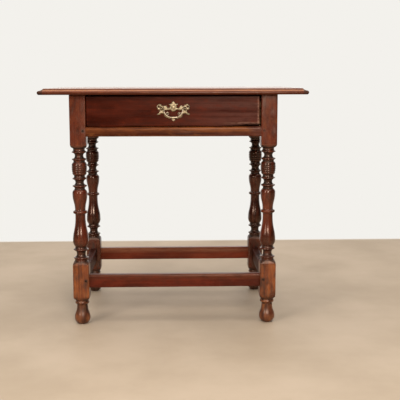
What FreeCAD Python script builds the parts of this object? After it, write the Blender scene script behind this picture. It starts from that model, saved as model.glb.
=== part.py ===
"""Tavern table: a joined frame on four turned legs, a two plank top and one drawer.

The frame of the part: origin on the floor under the middle of the top, +X to the right
as one faces the drawer, -Y to the front, +Z up, in millimetres.
"""
import FreeCAD, Part
import math
import operator
import os
from types import SimpleNamespace

import Sketcher

doc = FreeCAD.newDocument("tavern_table")
sheet = doc.addObject("Spreadsheet::Sheet", "Sizes")

DRIVING_SIZES = {
    # Whole table and its top
    "table_height": 724.0,
    "top_length": 800.0,
    "top_depth": 526.0,
    "top_thickness": 18.5,
    "top_overhang_wide": 88.5,
    "top_overhang_deep": 36.5,
    "top_seam": 0.4,
    "moulding_width": 16.0,
    "moulding_quirk": 1.0,
    "nose_height": 11.6,
    "nose_inset": 4.2,
    # Legs
    "leg_square": 49.0,
    "foot_height": 80.0,
    "lower_block_height": 117.0,
    "upper_block_height": 156.5,
    # Rails of the frieze
    "frieze_height": 124.5,
    "rail_thickness": 22.0,
    "rail_setback": 3.0,
    "rail_arris": 1.5,
    "front_rail_height": 29.0,
    "front_rail_thickness": 24.0,
    "front_rail_setback": 1.0,
    "front_rail_arris": 7.0,
    # Stretchers
    "stretcher_underside": 115.0,
    "stretcher_height": 42.0,
    "front_stretcher_height": 40.0,
    "stretcher_thickness": 22.0,
    "stretcher_arris": 4.0,
    # Mortise and tenon joints and their pegs
    "tenon_thickness": 8.0,
    "rail_tenon_length": 25.0,
    "stretcher_tenon_length": 18.0,
    "tenon_shoulder": 4.0,
    "tenon_haunch": 20.0,
    "tenon_clearance": 0.15,
    "peg_radius": 3.6,
    "peg_length": 28.0,
    "peg_inset": 9.5,
    "peg_recess": 0.6,
    "peg_clearance": 0.05,
    "peg_end_room": 0.5,
    "top_peg_length": 60.0,
    # Drawer runners, guides and stops
    "runner_thickness": 18.0,
    "runner_bearing": 16.0,
    "guide_height": 20.0,
    "stop_length": 14.0,
    "stop_height": 16.0,
    "stop_gap": 0.4,
    "stop_end_room": 2.1,
    "nail_radius": 1.4,
    "nail_head_radius": 3.0,
    "nail_head_thickness": 1.2,
    "nail_bite": 12.0,
    "nail_clearance": 0.05,
    # Drawer box
    "drawer_gap_left": 1.2,
    "drawer_gap_right": 3.2,
    "drawer_gap_top": 3.4,
    "drawer_lift": 0.3,
    "drawer_setback": 1.5,
    "drawer_front_thickness": 20.0,
    "drawer_front_arris": 2.0,
    "drawer_side_thickness": 11.0,
    "drawer_side_height": 82.0,
    "drawer_back_thickness": 11.0,
    "drawer_back_drop": 5.0,
    "tail_width": 18.0,
    "tail_flare": 2.2,
    "tail_lap": 14.0,
    "tail_clearance": 0.1,
    "bottom_rise": 6.0,
    "bottom_thickness": 7.0,
    "bottom_seam": 0.5,
    "groove_depth": 6.0,
    "groove_clearance": 0.2,
    "bottom_nail_length": 22.0,
    # Brass handle
    "post_spacing": 70.0,
    "post_rise": 53.4,
    "pivot_reach": 9.6,
    "post_stud_radius": 2.5,
    "post_stud_tail": 2.0,
    "post_collar_radius": 5.4,
    "post_collar_thickness": 1.8,
    "post_neck_radius": 3.0,
    "post_ball_radius": 4.3,
    "stud_clearance": 0.05,
    "nut_width": 9.0,
    "nut_thickness": 3.5,
    "plate_width": 99.0,
    "plate_rise": 22.6,
    "plate_fall": 37.4,
    "plate_thickness": 1.6,
    "bail_width": 56.0,
    "bail_drop": 26.0,
    "bail_radius": 2.1,
    "bail_straight": 7.0,
    "bail_bend": 14.0,
    "bail_knuckle_radius": 2.4,
    "bail_grip_radius": 3.1,
    "bail_grip_length": 24.0,
    "pivot_radius": 1.6,
    "pivot_clearance": 0.05,
    "pivot_end_room": 0.8,
    # Room by which every cut runs past the face that it opens
    "overrun": 2.0,
}


class Size:
    """A length that knows its value and the sheet expression that drives it."""

    def __init__(self, text, value):
        self.text = text
        self.value = value

    def joined(self, sign, work, other, turned=False):
        other = other if isinstance(other, Size) else Size(repr(other), other)
        first, second = (other, self) if turned else (self, other)
        text = "(" + first.text + " " + sign + " " + second.text + ")"
        return Size(text, work(first.value, second.value))

    def __add__(self, other):
        return self.joined("+", operator.add, other)

    def __radd__(self, other):
        return self.joined("+", operator.add, other, turned=True)

    def __sub__(self, other):
        return self.joined("-", operator.sub, other)

    def __rsub__(self, other):
        return self.joined("-", operator.sub, other, turned=True)

    def __mul__(self, other):
        return self.joined("*", operator.mul, other)

    def __rmul__(self, other):
        return self.joined("*", operator.mul, other, turned=True)

    def __truediv__(self, other):
        return self.joined("/", operator.truediv, other)

    def __neg__(self):
        return self * -1

    def root(self):
        return Size("sqrt(" + self.text + ")", math.sqrt(self.value))


NOTHING = Size("0", 0.0)
size = SimpleNamespace()


def enter(alias, cell, value):
    """Give a length a named row of the sheet, as a number or as a sum of other rows."""
    row = str(len(vars(size)) + 1)
    sheet.set("A" + row, alias)
    sheet.set("B" + row, cell)
    sheet.setAlias("B" + row, alias)
    setattr(size, alias, Size("Sizes." + alias, value))


def derive(alias, length):
    """A length worked out from others, in a row of its own."""
    enter(alias, "=" + length.text.replace("Sizes.", ""), length.value)
    return getattr(size, alias)


for driving_alias, driving_length in DRIVING_SIZES.items():
    enter(driving_alias, str(driving_length), driving_length)

# Levels and faces that several pieces share
leg_height = derive("leg_height", size.table_height - size.top_thickness)
half_square = size.leg_square / 2
frame_wide = derive("frame_wide", size.top_length - 2 * size.top_overhang_wide)
frame_deep = derive("frame_deep", size.top_depth - 2 * size.top_overhang_deep)
half_wide = frame_wide / 2 - half_square
half_deep = frame_deep / 2 - half_square
between_wide = frame_wide - 2 * size.leg_square
between_deep = frame_deep - 2 * size.leg_square
block_heights = size.lower_block_height + size.upper_block_height
shaft_height = derive("shaft_height", leg_height - size.foot_height - block_heights)
frame_front = -frame_deep / 2
rail_bottom = leg_height - size.frieze_height
opening_bottom = rail_bottom + size.front_rail_height
opening_height = size.frieze_height - size.front_rail_height
doc.recompute()

X_WAY = FreeCAD.Vector(1, 0, 0)
Y_WAY = FreeCAD.Vector(0, 1, 0)
Z_WAY = FreeCAD.Vector(0, 0, 1)
QUARTER_TURN_SHARE = math.tan(math.pi / 8) / 2

sub_parts = []


# Helpers that bind shapes to the sheet


def bind(item, name, length):
    item.setExpression(name, length.text)


def seat(item, place, rotation=FreeCAD.Rotation()):
    """Place an item, with each coordinate driven by the sheet."""
    item.Placement = FreeCAD.Placement(FreeCAD.Vector(*(one.value for one in place)), rotation)
    for axis, one in zip("xyz", place):
        bind(item, "Placement.Base." + axis, one)


def sub_part(kind, label):
    """A document object that becomes one node of the table."""
    item = doc.addObject(kind, label)
    item.Label = label
    sub_parts.append(item)
    return item


def block(owner, name, corner, extent, kind="Additive"):
    """A box feature in a body, or a loose box where the owner is None."""
    if owner is None:
        item = doc.addObject("Part::Box", name)
    else:
        item = owner.newObject("PartDesign::" + kind + "Box", name)
    for edge, length in zip(("Length", "Width", "Height"), extent):
        bind(item, edge, length)
    seat(item, corner)
    return item


def rod(owner, name, start, way, radius, length, kind="Subtractive"):
    """A round feature in a body, or a loose cylinder where the owner is None."""
    if owner is None:
        item = doc.addObject("Part::Cylinder", name)
    else:
        item = owner.newObject("PartDesign::" + kind + "Cylinder", name)
    bind(item, "Radius", radius)
    bind(item, "Height", length)
    seat(item, start, FreeCAD.Rotation(Z_WAY, way))
    return item


def origin_plane(body, role):
    return next(one for one in body.Origin.OriginFeatures if one.Role == role)


def sketch_on(body, role, name):
    sketch = body.newObject("Sketcher::SketchObject", name)
    sketch.AttachmentSupport = [(origin_plane(body, role), "")]
    sketch.MapMode = "FlatFace"
    return sketch


def vector(point):
    return FreeCAD.Vector(point[0].value, point[1].value, 0)


def stretch_between(first, last, bulge):
    """A line, or an arc that stands out by its bulge share to the right of the way it goes."""
    start = vector(first)
    end = vector(last)
    if bulge == 0:
        return Part.LineSegment(start, end)
    across = end - start
    out = FreeCAD.Vector(across.y, -across.x, 0) * bulge
    return Part.Arc(start, (start + end) * 0.5 + out, end)


def outline(sketch, points, closed=True):
    """Lines and arcs through points, each corner and each radius driven by the sheet.

    A point is its two coordinates and the bulge share of the stretch that leads to it.
    """
    pairs = list(zip(points, points[1:] + points[:1]))
    if not closed:
        pairs.pop()
    pieces = [stretch_between(first, last, last[2]) for first, last in pairs]
    indexes = sketch.addGeometry(pieces, False)
    ends = []
    for index, (first, last) in zip(indexes, pairs):
        start = sketch.getPoint(index, 1)
        forward = start.distanceToPoint(vector(first)) < start.distanceToPoint(vector(last))
        ends.append((1, 2) if forward else (2, 1))
    rules = []
    lengths = []
    for turn, (index, (first, last)) in enumerate(zip(indexes, pairs)):
        begin, end = ends[turn]
        held = [(end, last)] if closed or turn else [(begin, first), (end, last)]
        for corner, point in held:
            for kind, one in zip(("DistanceX", "DistanceY"), point):
                rules.append(Sketcher.Constraint(kind, -1, 1, index, corner, one.value))
                lengths.append(one)
        bulge = abs(last[2])
        if bulge:
            over = last[0] - first[0]
            up = last[1] - first[1]
            radius = (over * over + up * up).root() * ((1 + 4 * bulge * bulge) / (8 * bulge))
            rules.append(Sketcher.Constraint("Radius", index, radius.value))
            lengths.append(radius)
    for rule, length in zip(sketch.addConstraint(rules), lengths):
        bind(sketch, "Constraints[" + str(rule) + "]", length)
    joins = []
    for turn in range(len(indexes) if closed else len(indexes) - 1):
        after = (turn + 1) % len(indexes)
        join = (indexes[turn], ends[turn][1], indexes[after], ends[after][0])
        joins.append(Sketcher.Constraint("Coincident", *join))
    sketch.addConstraint(joins)
    return sketch


def pad(body, sketch, length, both_ways=True):
    item = body.newObject("PartDesign::Pad", sketch.Name + "_pad")
    item.Profile = sketch
    item.SideType = "Symmetric" if both_ways else "One side"
    bind(item, "Length", length)
    return item


def section(front_arris, other_arris, thickness, height):
    """A bar's cross section: its outer face at the low first coordinate, its arrises rounded."""
    front = -thickness / 2
    back = thickness / 2
    quarter = QUARTER_TURN_SHARE
    return [
        (front + other_arris, NOTHING, quarter),
        (back - other_arris, NOTHING, 0),
        (back, other_arris, quarter),
        (back, height - other_arris, 0),
        (back - other_arris, height, quarter),
        (front + front_arris, height, 0),
        (front, height - front_arris, quarter),
        (front, other_arris, 0),
    ]


# Leg blank: one square billet, turned between its two blocks and at its foot

# Height along the turning, radius by half the square, bulge of the stretch that leads there
FOOT_SHARES = [
    (0.000, 0.550, 0),
    (0.250, 0.985, 0.125),
    (0.435, 0.857, 0.052),
    (0.712, 0.670, -0.052),
    (0.810, 0.850, -0.200),
    (0.875, 0.850, 0.150),
    (0.935, 0.800, -0.120),
    (0.950, 0.860, 0),
]
LOWER_SHAFT_SHARES = [
    # Ring, hollow and ring over the lower block
    (0.004, 0.850, 0.180),
    (0.014, 0.815, -0.150),
    (0.026, 0.900, -0.150),
    (0.036, 0.900, 0.250),
    (0.067, 0.550, -0.200),
    (0.100, 0.905, -0.200),
    (0.110, 0.905, 0.250),
    (0.127, 0.730, -0.180),
    (0.131, 0.730, 0),
    # Lower vase, up to the neck under the middle ring
    (0.190, 0.985, 0.105),
    (0.261, 0.860, 0.030),
    (0.392, 0.630, -0.030),
    (0.410, 0.630, 0),
]
UPPER_SHAFT_SHARES = [
    # Ring in the middle, from where the lower cut ends
    (0.410, 0.630, 0),
    (0.421, 0.715, -0.180),
    (0.448, 0.715, 0.470),
    (0.458, 0.655, -0.180),
    # Upper vase with its high shoulder
    (0.521, 0.780, -0.034),
    (0.600, 0.930, 0.034),
    (0.632, 0.680, 0.128),
    (0.639, 0.630, 0),
    # Ring, hollow and ring
    (0.658, 0.855, -0.180),
    (0.669, 0.855, 0.250),
    (0.692, 0.530, -0.200),
    (0.722, 0.850, -0.200),
    (0.732, 0.850, 0.250),
    (0.748, 0.675, -0.180),
    (0.754, 0.675, 0),
    # Barrel with three scored lines
    (0.778, 0.890, 0.140),
    (0.781, 0.855, 0),
    (0.784, 0.905, 0),
    (0.796, 0.930, 0.040),
    (0.799, 0.890, 0),
    (0.802, 0.935, 0),
    (0.814, 0.940, 0.040),
    (0.817, 0.900, 0),
    (0.820, 0.940, 0),
    (0.846, 0.925, 0.050),
    (0.870, 0.715, 0.120),
    (0.877, 0.715, 0),
    # Ring, hollow and ring under the upper block
    (0.889, 0.870, -0.150),
    (0.899, 0.870, 0.250),
    (0.923, 0.525, -0.200),
    (0.951, 0.865, -0.200),
    (0.961, 0.865, 0.250),
    (0.979, 0.725, -0.180),
    (0.988, 0.745, 0),
]
# Reach of the turning tool past the corners, and where its rounded shoulders meet the blocks
TOOL_REACH_SHARE = 1.5
FOOT_SHOULDER_SHARE = 1.12
SHAFT_SHOULDER_SHARES = (-0.035, 1.030)
SHOULDER_BULGE_SHARE = 0.18


def turned_points(shares, base, height):
    return [(half_square * radius, base + height * level, bulge) for level, radius, bulge in shares]


def make_leg_blank():
    body = doc.addObject("PartDesign::Body", "leg_blank")
    square = (size.leg_square, size.leg_square, leg_height)
    block(body, "billet", (-half_square, -half_square, NOTHING), square)
    reach = half_square * TOOL_REACH_SHARE
    foot = turned_points(FOOT_SHARES, NOTHING, size.foot_height)
    foot.append((reach, size.foot_height * FOOT_SHOULDER_SHARE, SHOULDER_BULGE_SHARE))
    foot.append((reach, NOTHING, 0))
    base = size.foot_height + size.lower_block_height
    low, high = (base + shaft_height * share for share in SHAFT_SHOULDER_SHARES)
    lower = turned_points(LOWER_SHAFT_SHARES, base, shaft_height)
    upper = turned_points(UPPER_SHAFT_SHARES, base, shaft_height)
    lower = [(reach, low, 0)] + lower + [(reach, lower[-1][1], 0)]
    upper = [(reach, upper[0][1], 0)] + upper + [(reach, high, SHOULDER_BULGE_SHARE)]
    cuts = {"foot_turning": foot, "lower_shaft_turning": lower, "upper_shaft_turning": upper}
    for name, points in cuts.items():
        sketch = outline(sketch_on(body, "XZ_Plane", name), points)
        groove = body.newObject("PartDesign::Groove", name + "_groove")
        groove.Profile = sketch
        groove.ReferenceAxis = (sketch, ["V_Axis"])
        groove.Angle = 360
    return body


# Rails and stretchers: bars tenoned into the legs, each with its outer face to local -Y

SIDE_WAYS = {"front": (0, -1), "right": (1, 0), "back": (0, 1), "left": (-1, 0)}
SIDE_TURNS = {"front": 0, "right": 90, "back": 180, "left": 270}
RAIL_PEG_SHARES = (0.20, 0.62)
FRONT_RAIL_PEG_SHARES = (0.58,)
STRETCHER_PEG_SHARES = (0.60,)
TOP_PEG_SHARES = {"side": 0.2, "back": 0.3}
RUNNER_NAIL_SHARES = (-0.4, 0.0, 0.4)

rail_offset = half_square - size.rail_setback - size.rail_thickness / 2
rail_inner = half_wide + rail_offset - size.rail_thickness / 2
runner_inner = between_wide / 2 - size.runner_bearing
runner_width = rail_inner - runner_inner
top_peg_bite = size.top_peg_length + size.peg_recess - size.top_thickness


def plain_rail(side):
    return SimpleNamespace(
        label="rail_" + side,
        side=side,
        bottom=rail_bottom,
        height=size.frieze_height,
        thickness=size.rail_thickness,
        offset=rail_offset,
        arris=size.rail_arris,
        tenon=size.rail_tenon_length,
        above=size.tenon_haunch,
        peg_shares=RAIL_PEG_SHARES,
        pegs="rail_pegs",
    )


def stretcher(side, height):
    return SimpleNamespace(
        label="stretcher_" + side,
        side=side,
        bottom=size.stretcher_underside,
        height=height,
        thickness=size.stretcher_thickness,
        offset=NOTHING,
        arris=size.stretcher_arris,
        tenon=size.stretcher_tenon_length,
        above=size.tenon_shoulder,
        peg_shares=STRETCHER_PEG_SHARES,
        pegs="stretcher_pegs",
    )


front_rail = plain_rail("front")
front_rail.height = size.front_rail_height
front_rail.thickness = size.front_rail_thickness
front_rail.offset = half_square - size.front_rail_setback - size.front_rail_thickness / 2
front_rail.arris = size.front_rail_arris
front_rail.above = size.tenon_shoulder
front_rail.peg_shares = FRONT_RAIL_PEG_SHARES
bars = [front_rail] + [plain_rail(side) for side in ("back", "left", "right")]
bars.append(stretcher("front", size.front_stretcher_height))
bars += [stretcher(side, size.stretcher_height) for side in ("back", "left", "right")]


def make_bar(bar):
    body = sub_part("PartDesign::Body", bar.label)
    runs_wide = bar.side in ("front", "back")
    length = between_wide if runs_wide else between_deep
    points = section(bar.arris, size.rail_arris, bar.thickness, bar.height)
    pad(body, outline(sketch_on(body, "YZ_Plane", bar.label + "_section"), points), length)
    tenon_height = bar.height - size.tenon_shoulder - bar.above
    tenon = (bar.tenon, size.tenon_thickness, tenon_height)
    for end, low in (("left", -length / 2 - bar.tenon), ("right", length / 2)):
        corner = (low, -size.tenon_thickness / 2, size.tenon_shoulder)
        block(body, bar.label + "_tenon_" + end, corner, tenon)
    hole = size.peg_radius + size.peg_clearance
    through = size.tenon_thickness + 2 * size.overrun
    for end in (-1, 1):
        along = (length / 2 + size.peg_inset) * end
        for share in bar.peg_shares:
            start = (along, -through / 2, bar.height * share)
            rod(body, bar.label + "_peg_hole", start, Y_WAY, hole, through)
    outward = SIDE_WAYS[bar.side]
    place = [half_wide + bar.offset, half_deep + bar.offset]
    place = [one * sign for one, sign in zip(place, outward)]
    seat(body, (*place, bar.bottom), FreeCAD.Rotation(Z_WAY, SIDE_TURNS[bar.side]))
    return body


def drill_rail_top(body, bar):
    """Blind holes for the pegs that hold the top, and in a side rail those for the runner's nails."""
    hole = size.peg_radius + size.peg_clearance
    depth = top_peg_bite + size.peg_end_room
    if bar.side == "back":
        along = between_wide * TOP_PEG_SHARES["back"]
    else:
        along = size.top_depth * TOP_PEG_SHARES["side"]
    for sign in (-1, 1):
        start = (along * sign, NOTHING, bar.height - depth)
        rod(body, bar.label + "_top_peg_hole", start, Z_WAY, hole, depth + size.overrun)
    if bar.side == "back":
        return
    level = size.front_rail_height - size.runner_thickness / 2
    bite = size.nail_bite + size.peg_end_room
    for share in RUNNER_NAIL_SHARES:
        start = (between_deep * share, bar.thickness / 2 - bite, level)
        hole = size.nail_radius + size.nail_clearance
        rod(body, bar.label + "_nail_hole", start, Y_WAY, hole, bite + size.overrun)


# Legs: the blank with its mortises and peg holes cut

LEG_CORNERS = {
    "leg_front_left": (-1, -1),
    "leg_front_right": (1, -1),
    "leg_rear_left": (-1, 1),
    "leg_rear_right": (1, 1),
}


def low_end(sign, start, length):
    """The lower coordinate of a span that is measured along an axis or against it."""
    return start if sign > 0 else -(start + length)


def joints_of(corner):
    """Each bar that meets a leg, with the signs of its way into the leg and of its outer side."""
    for bar in bars:
        outward = SIDE_WAYS[bar.side]
        runs_wide = outward[1] != 0
        into = corner[0] if runs_wide else corner[1]
        out = outward[1] if runs_wide else outward[0]
        if out == (corner[1] if runs_wide else corner[0]):
            yield bar, runs_wide, into, out


def peg_line(bar, runs_wide, into, out, depth, share):
    """Where a peg starts, measured from the leg's axis, and the way that it is driven."""
    along = (size.peg_inset - half_square) * into
    across = depth * out
    level = bar.bottom + bar.height * share
    start = (along, across, level) if runs_wide else (across, along, level)
    return start, (Y_WAY if runs_wide else X_WAY) * -out


def make_leg(label, corner, blank):
    cutters = []
    room = size.tenon_clearance
    for bar, runs_wide, into, out in joints_of(corner):
        deep = size.overrun + bar.tenon + room
        wide = size.tenon_thickness + 2 * room
        tall = bar.height - size.tenon_shoulder - bar.above + 2 * room
        along = low_end(into, -half_square - size.overrun, deep)
        across = low_end(out, bar.offset - wide / 2, wide)
        level = bar.bottom + size.tenon_shoulder - room
        place = (along, across, level) if runs_wide else (across, along, level)
        extent = (deep, wide, tall) if runs_wide else (wide, deep, tall)
        cutters.append(block(None, label + "_mortise_" + bar.label, place, extent))
        hole = size.peg_radius + size.peg_clearance
        depth = size.overrun + size.peg_recess + size.peg_length + size.peg_end_room
        for share in bar.peg_shares:
            outside = half_square + size.overrun
            start, way = peg_line(bar, runs_wide, into, out, outside, share)
            cutters.append(rod(None, label + "_peg_hole", start, way, hole, depth))
    if corner[1] < 0:
        depth = top_peg_bite + size.peg_end_room
        start = (NOTHING, NOTHING, leg_height - depth)
        hole = size.peg_radius + size.peg_clearance
        cutters.append(rod(None, label + "_top_peg_hole", start, Z_WAY, hole, depth + size.overrun))
    joints = doc.addObject("Part::MultiFuse", label + "_joints")
    joints.Shapes = cutters
    leg = sub_part("Part::Cut", label)
    leg.Base = blank
    leg.Tool = joints
    seat(leg, (half_wide * corner[0], half_deep * corner[1], NOTHING))


# Pegs: riven wooden pins, driven through the joints and down through the top


def group(label, items):
    item = sub_part("Part::Compound", label)
    item.Links = items
    return item


def make_joint_pegs(label):
    pegs = []
    for corner in LEG_CORNERS.values():
        for bar, runs_wide, into, out in joints_of(corner):
            if bar.pegs != label:
                continue
            for share in bar.peg_shares:
                head = half_square - size.peg_recess
                start, way = peg_line(bar, runs_wide, into, out, head, share)
                start = (start[0] + half_wide * corner[0], start[1] + half_deep * corner[1], start[2])
                pegs.append(rod(None, label + "_peg", start, way, size.peg_radius, size.peg_length))
    group(label, pegs)


def top_peg_places():
    """Across and along places of the top's pegs: front legs, side rails and back rail."""
    places = []
    for sign in (-1, 1):
        places.append((half_wide * sign, -half_deep))
        for end in (-1, 1):
            side = size.top_depth * TOP_PEG_SHARES["side"] * end
            places.append(((half_wide + rail_offset) * sign, side))
        places.append((between_wide * TOP_PEG_SHARES["back"] * sign, half_deep + rail_offset))
    return places


def make_top_pegs():
    low = size.table_height - size.peg_recess - size.top_peg_length
    pegs = []
    for across, along in top_peg_places():
        start = (across, along, low)
        pegs.append(rod(None, "top_peg", start, Z_WAY, size.peg_radius, size.top_peg_length))
    group("top_pegs", pegs)


# Top: two planks edge to edge, a hollow and a round nose worked on the outer edges

NOSE_SLOPE_BULGE_SHARE = 0.09


def edge_moulding(tip, sign):
    """The worked edge from the underside to the top face, seen along the edge."""
    inset = tip - size.nose_inset * sign
    shoulder = tip - size.moulding_width * sign
    quirk = size.top_thickness - size.moulding_quirk
    nose_bulge = size.nose_inset.value / size.nose_height.value
    return [
        (inset, NOTHING, 0),
        (inset, size.nose_height, nose_bulge * sign),
        (shoulder, quirk, -NOSE_SLOPE_BULGE_SHARE * sign),
        (shoulder, size.top_thickness, 0),
    ]


def make_top_board(label, sign):
    body = sub_part("PartDesign::Body", label)
    seam = size.top_seam / 2 * sign
    points = edge_moulding(size.top_depth / 2 * sign, sign)
    points += [(seam, size.top_thickness, 0), (seam, NOTHING, 0)]
    sketch = outline(sketch_on(body, "YZ_Plane", label + "_section"), points)
    pad(body, sketch, size.top_length + 2 * size.overrun)
    ends = sketch_on(body, "XZ_Plane", label + "_ends")
    above = size.top_thickness + size.overrun
    for end in (-1, 1):
        worked = edge_moulding(size.top_length / 2 * end, end)
        outside = (size.top_length / 2 + 2 * size.overrun) * end
        worked += [(worked[-1][0], above, 0), (outside, above, 0)]
        worked += [(outside, -size.overrun, 0), (worked[0][0], -size.overrun, 0)]
        outline(ends, worked)
    cut = body.newObject("PartDesign::Pocket", label + "_ends_cut")
    cut.Profile = ends
    cut.SideType = "Symmetric"
    bind(cut, "Length", 2 * size.top_depth)
    hole = size.peg_radius + size.peg_clearance
    through = size.top_thickness + 2 * size.overrun
    for across, along in top_peg_places():
        if along.value * sign > 0:
            start = (across, along, -size.overrun)
            rod(body, label + "_peg_hole", start, Z_WAY, hole, through)
    seat(body, (NOTHING, NOTHING, leg_height))


# Runners, guides and stops that carry the drawer, nailed inside the side rails

drawer_face = frame_front + size.drawer_setback
stop_room = size.stop_gap + size.stop_length + size.stop_end_room
drawer_depth = derive("drawer_depth", between_deep / 2 - stop_room - drawer_face)


def nail(name, start, way, length):
    """A nail whose head lies on the face that it is driven into."""
    head_start = tuple(
        one - size.nail_head_thickness * step for one, step in zip(start, (way.x, way.y, way.z))
    )
    shank = rod(None, name + "_shank", start, way, size.nail_radius, length)
    head = rod(None, name + "_head", head_start, way, size.nail_head_radius, size.nail_head_thickness)
    item = doc.addObject("Part::MultiFuse", name)
    item.Shapes = [shank, head]
    return item


def make_drawer_carriage():
    nails = []
    stops = []
    hole = size.nail_radius + size.nail_clearance
    middle = opening_bottom - size.runner_thickness / 2
    for side, sign in (("left", -1), ("right", 1)):
        runner = sub_part("PartDesign::Body", "runner_" + side)
        extent = (runner_width, between_deep, size.runner_thickness)
        corner = (low_end(sign, runner_inner, runner_width), -between_deep / 2, NOTHING)
        block(runner, "runner_bar_" + side, corner, extent)
        seat(runner, (NOTHING, NOTHING, opening_bottom - size.runner_thickness))
        for share in RUNNER_NAIL_SHARES:
            along = between_deep * share
            through = runner_width + 2 * size.overrun
            low = low_end(sign, runner_inner - size.overrun, through)
            start = (low, along, size.runner_thickness / 2)
            rod(runner, "runner_nail_hole_" + side, start, X_WAY, hole, through)
            start = (runner_inner * sign, along, middle)
            length = runner_width + size.nail_bite
            nails.append(nail("runner_nail_" + side, start, X_WAY * sign, length))
        guide = sub_part("PartDesign::Body", "guide_" + side)
        extent = (rail_inner - between_wide / 2, between_deep, size.guide_height)
        corner = (low_end(sign, between_wide / 2, extent[0]), -between_deep / 2, NOTHING)
        block(guide, "guide_strip_" + side, corner, extent)
        seat(guide, (NOTHING, NOTHING, opening_bottom))
        extent = (size.runner_bearing, size.stop_length, size.stop_height)
        behind = drawer_face + drawer_depth + size.stop_gap
        corner = (low_end(sign, runner_inner, size.runner_bearing), behind, opening_bottom)
        stops.append(block(None, "drawer_stop_" + side, corner, extent))
    group("runner_nails", nails)
    group("drawer_stops", stops)


# Drawer: sides dovetailed into the front and the back, a bottom of two boards in grooves

TAIL_PLACE_SHARES = (0.2, 0.5, 0.8)
BOTTOM_SEAM_SHARE = 0.5
BOTTOM_NAIL_SHARES = (-0.38, -0.13, 0.13, 0.38)

drawer_width = between_wide - size.drawer_gap_left - size.drawer_gap_right
drawer_middle = (size.drawer_gap_left - size.drawer_gap_right) / 2
drawer_floor = opening_bottom + size.drawer_lift
drawer_front_height = opening_height - size.drawer_lift - size.drawer_gap_top
side_inner = drawer_width / 2 - size.drawer_side_thickness
bottom_top = size.bottom_rise + size.bottom_thickness
drawer_place = (drawer_middle, drawer_face, drawer_floor)


def tail(body, name, kind, across, root, level, way, reach, room):
    """One dovetail, or its socket with room round it, growing from its root along the drawer."""
    item = body.newObject("PartDesign::" + kind + "Wedge", name)
    tip = size.tail_width / 2 + room
    narrow = tip - size.tail_flare
    bounds = {"Xmin": across[0], "X2min": across[0], "Xmax": across[1], "X2max": across[1]}
    bounds.update(Ymin=NOTHING, Ymax=reach, Zmin=-narrow, Zmax=narrow, Z2min=-tip, Z2max=tip)
    for bound, length in bounds.items():
        bind(item, bound, length)
    turn = FreeCAD.Rotation(X_WAY, 0) if way > 0 else FreeCAD.Rotation(X_WAY, 180)
    seat(item, (NOTHING, root, level), turn)
    return item


def make_drawer_front():
    body = sub_part("PartDesign::Body", "drawer_front")
    arris = size.drawer_front_arris
    points = section(arris, arris, size.drawer_front_thickness, drawer_front_height)
    middle = size.drawer_front_thickness / 2
    points = [(along + middle, level, bulge) for along, level, bulge in points]
    pad(body, outline(sketch_on(body, "YZ_Plane", "drawer_front_section"), points), drawer_width)
    room = size.groove_clearance
    reach = side_inner + size.groove_depth
    corner = (-reach, size.drawer_front_thickness - size.groove_depth, size.bottom_rise - room)
    extent = (2 * reach, size.groove_depth + size.overrun, size.bottom_thickness + 2 * room)
    block(body, "drawer_front_groove", corner, extent, "Subtractive")
    outside = drawer_width / 2 + size.overrun
    room = size.tail_clearance
    for across in ((-outside, -side_inner + room), (side_inner - room, outside)):
        for share in TAIL_PLACE_SHARES:
            level = size.drawer_side_height * share
            root = size.drawer_front_thickness
            name = "drawer_front_socket"
            tail(body, name, "Subtractive", across, root, level, -1, size.tail_lap + room, room)
    hole = size.post_stud_radius + size.stud_clearance
    through = size.drawer_front_thickness + 2 * size.overrun
    for sign in (-1, 1):
        start = (size.post_spacing / 2 * sign, -size.overrun, size.post_rise)
        rod(body, "drawer_front_stud_hole", start, Y_WAY, hole, through)
    seat(body, drawer_place)


def make_drawer_side(side, sign):
    label = "drawer_side_" + side
    body = sub_part("PartDesign::Body", label)
    front = size.drawer_front_thickness
    back = drawer_depth - size.drawer_back_thickness
    low = low_end(sign, side_inner, size.drawer_side_thickness)
    extent = (size.drawer_side_thickness, back - front, size.drawer_side_height)
    block(body, label + "_board", (low, front, NOTHING), extent)
    across = (low, low + size.drawer_side_thickness)
    for share in TAIL_PLACE_SHARES:
        level = size.drawer_side_height * share
        tail(body, label + "_tail", "Additive", across, front, level, -1, size.tail_lap, NOTHING)
        reach = size.drawer_back_thickness
        tail(body, label + "_tail", "Additive", across, back, level, 1, reach, NOTHING)
    room = size.groove_clearance
    wide = size.groove_depth + size.overrun
    low = low_end(sign, side_inner - size.overrun, wide)
    corner = (low, -size.overrun, size.bottom_rise - room)
    extent = (wide, drawer_depth + 2 * size.overrun, size.bottom_thickness + 2 * room)
    block(body, label + "_groove", corner, extent, "Subtractive")
    seat(body, drawer_place)


def make_drawer_back():
    body = sub_part("PartDesign::Body", "drawer_back")
    front = drawer_depth - size.drawer_back_thickness
    height = size.drawer_side_height - size.drawer_back_drop - bottom_top
    extent = (drawer_width, size.drawer_back_thickness, height)
    block(body, "drawer_back_board", (-drawer_width / 2, front, bottom_top), extent)
    outside = drawer_width / 2 + size.overrun
    room = size.tail_clearance
    for across in ((-outside, -side_inner + room), (side_inner - room, outside)):
        for share in TAIL_PLACE_SHARES:
            level = size.drawer_side_height * share
            reach = size.drawer_back_thickness
            tail(body, "drawer_back_socket", "Subtractive", across, front, level, 1, reach, room)
    depth = size.bottom_nail_length - size.bottom_thickness + size.peg_end_room
    hole = size.nail_radius + size.nail_clearance
    for share in BOTTOM_NAIL_SHARES:
        start = (drawer_width * share, front + size.drawer_back_thickness / 2, bottom_top - size.overrun)
        rod(body, "drawer_back_nail_hole", start, Z_WAY, hole, depth + size.overrun)
    seat(body, drawer_place)


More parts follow.
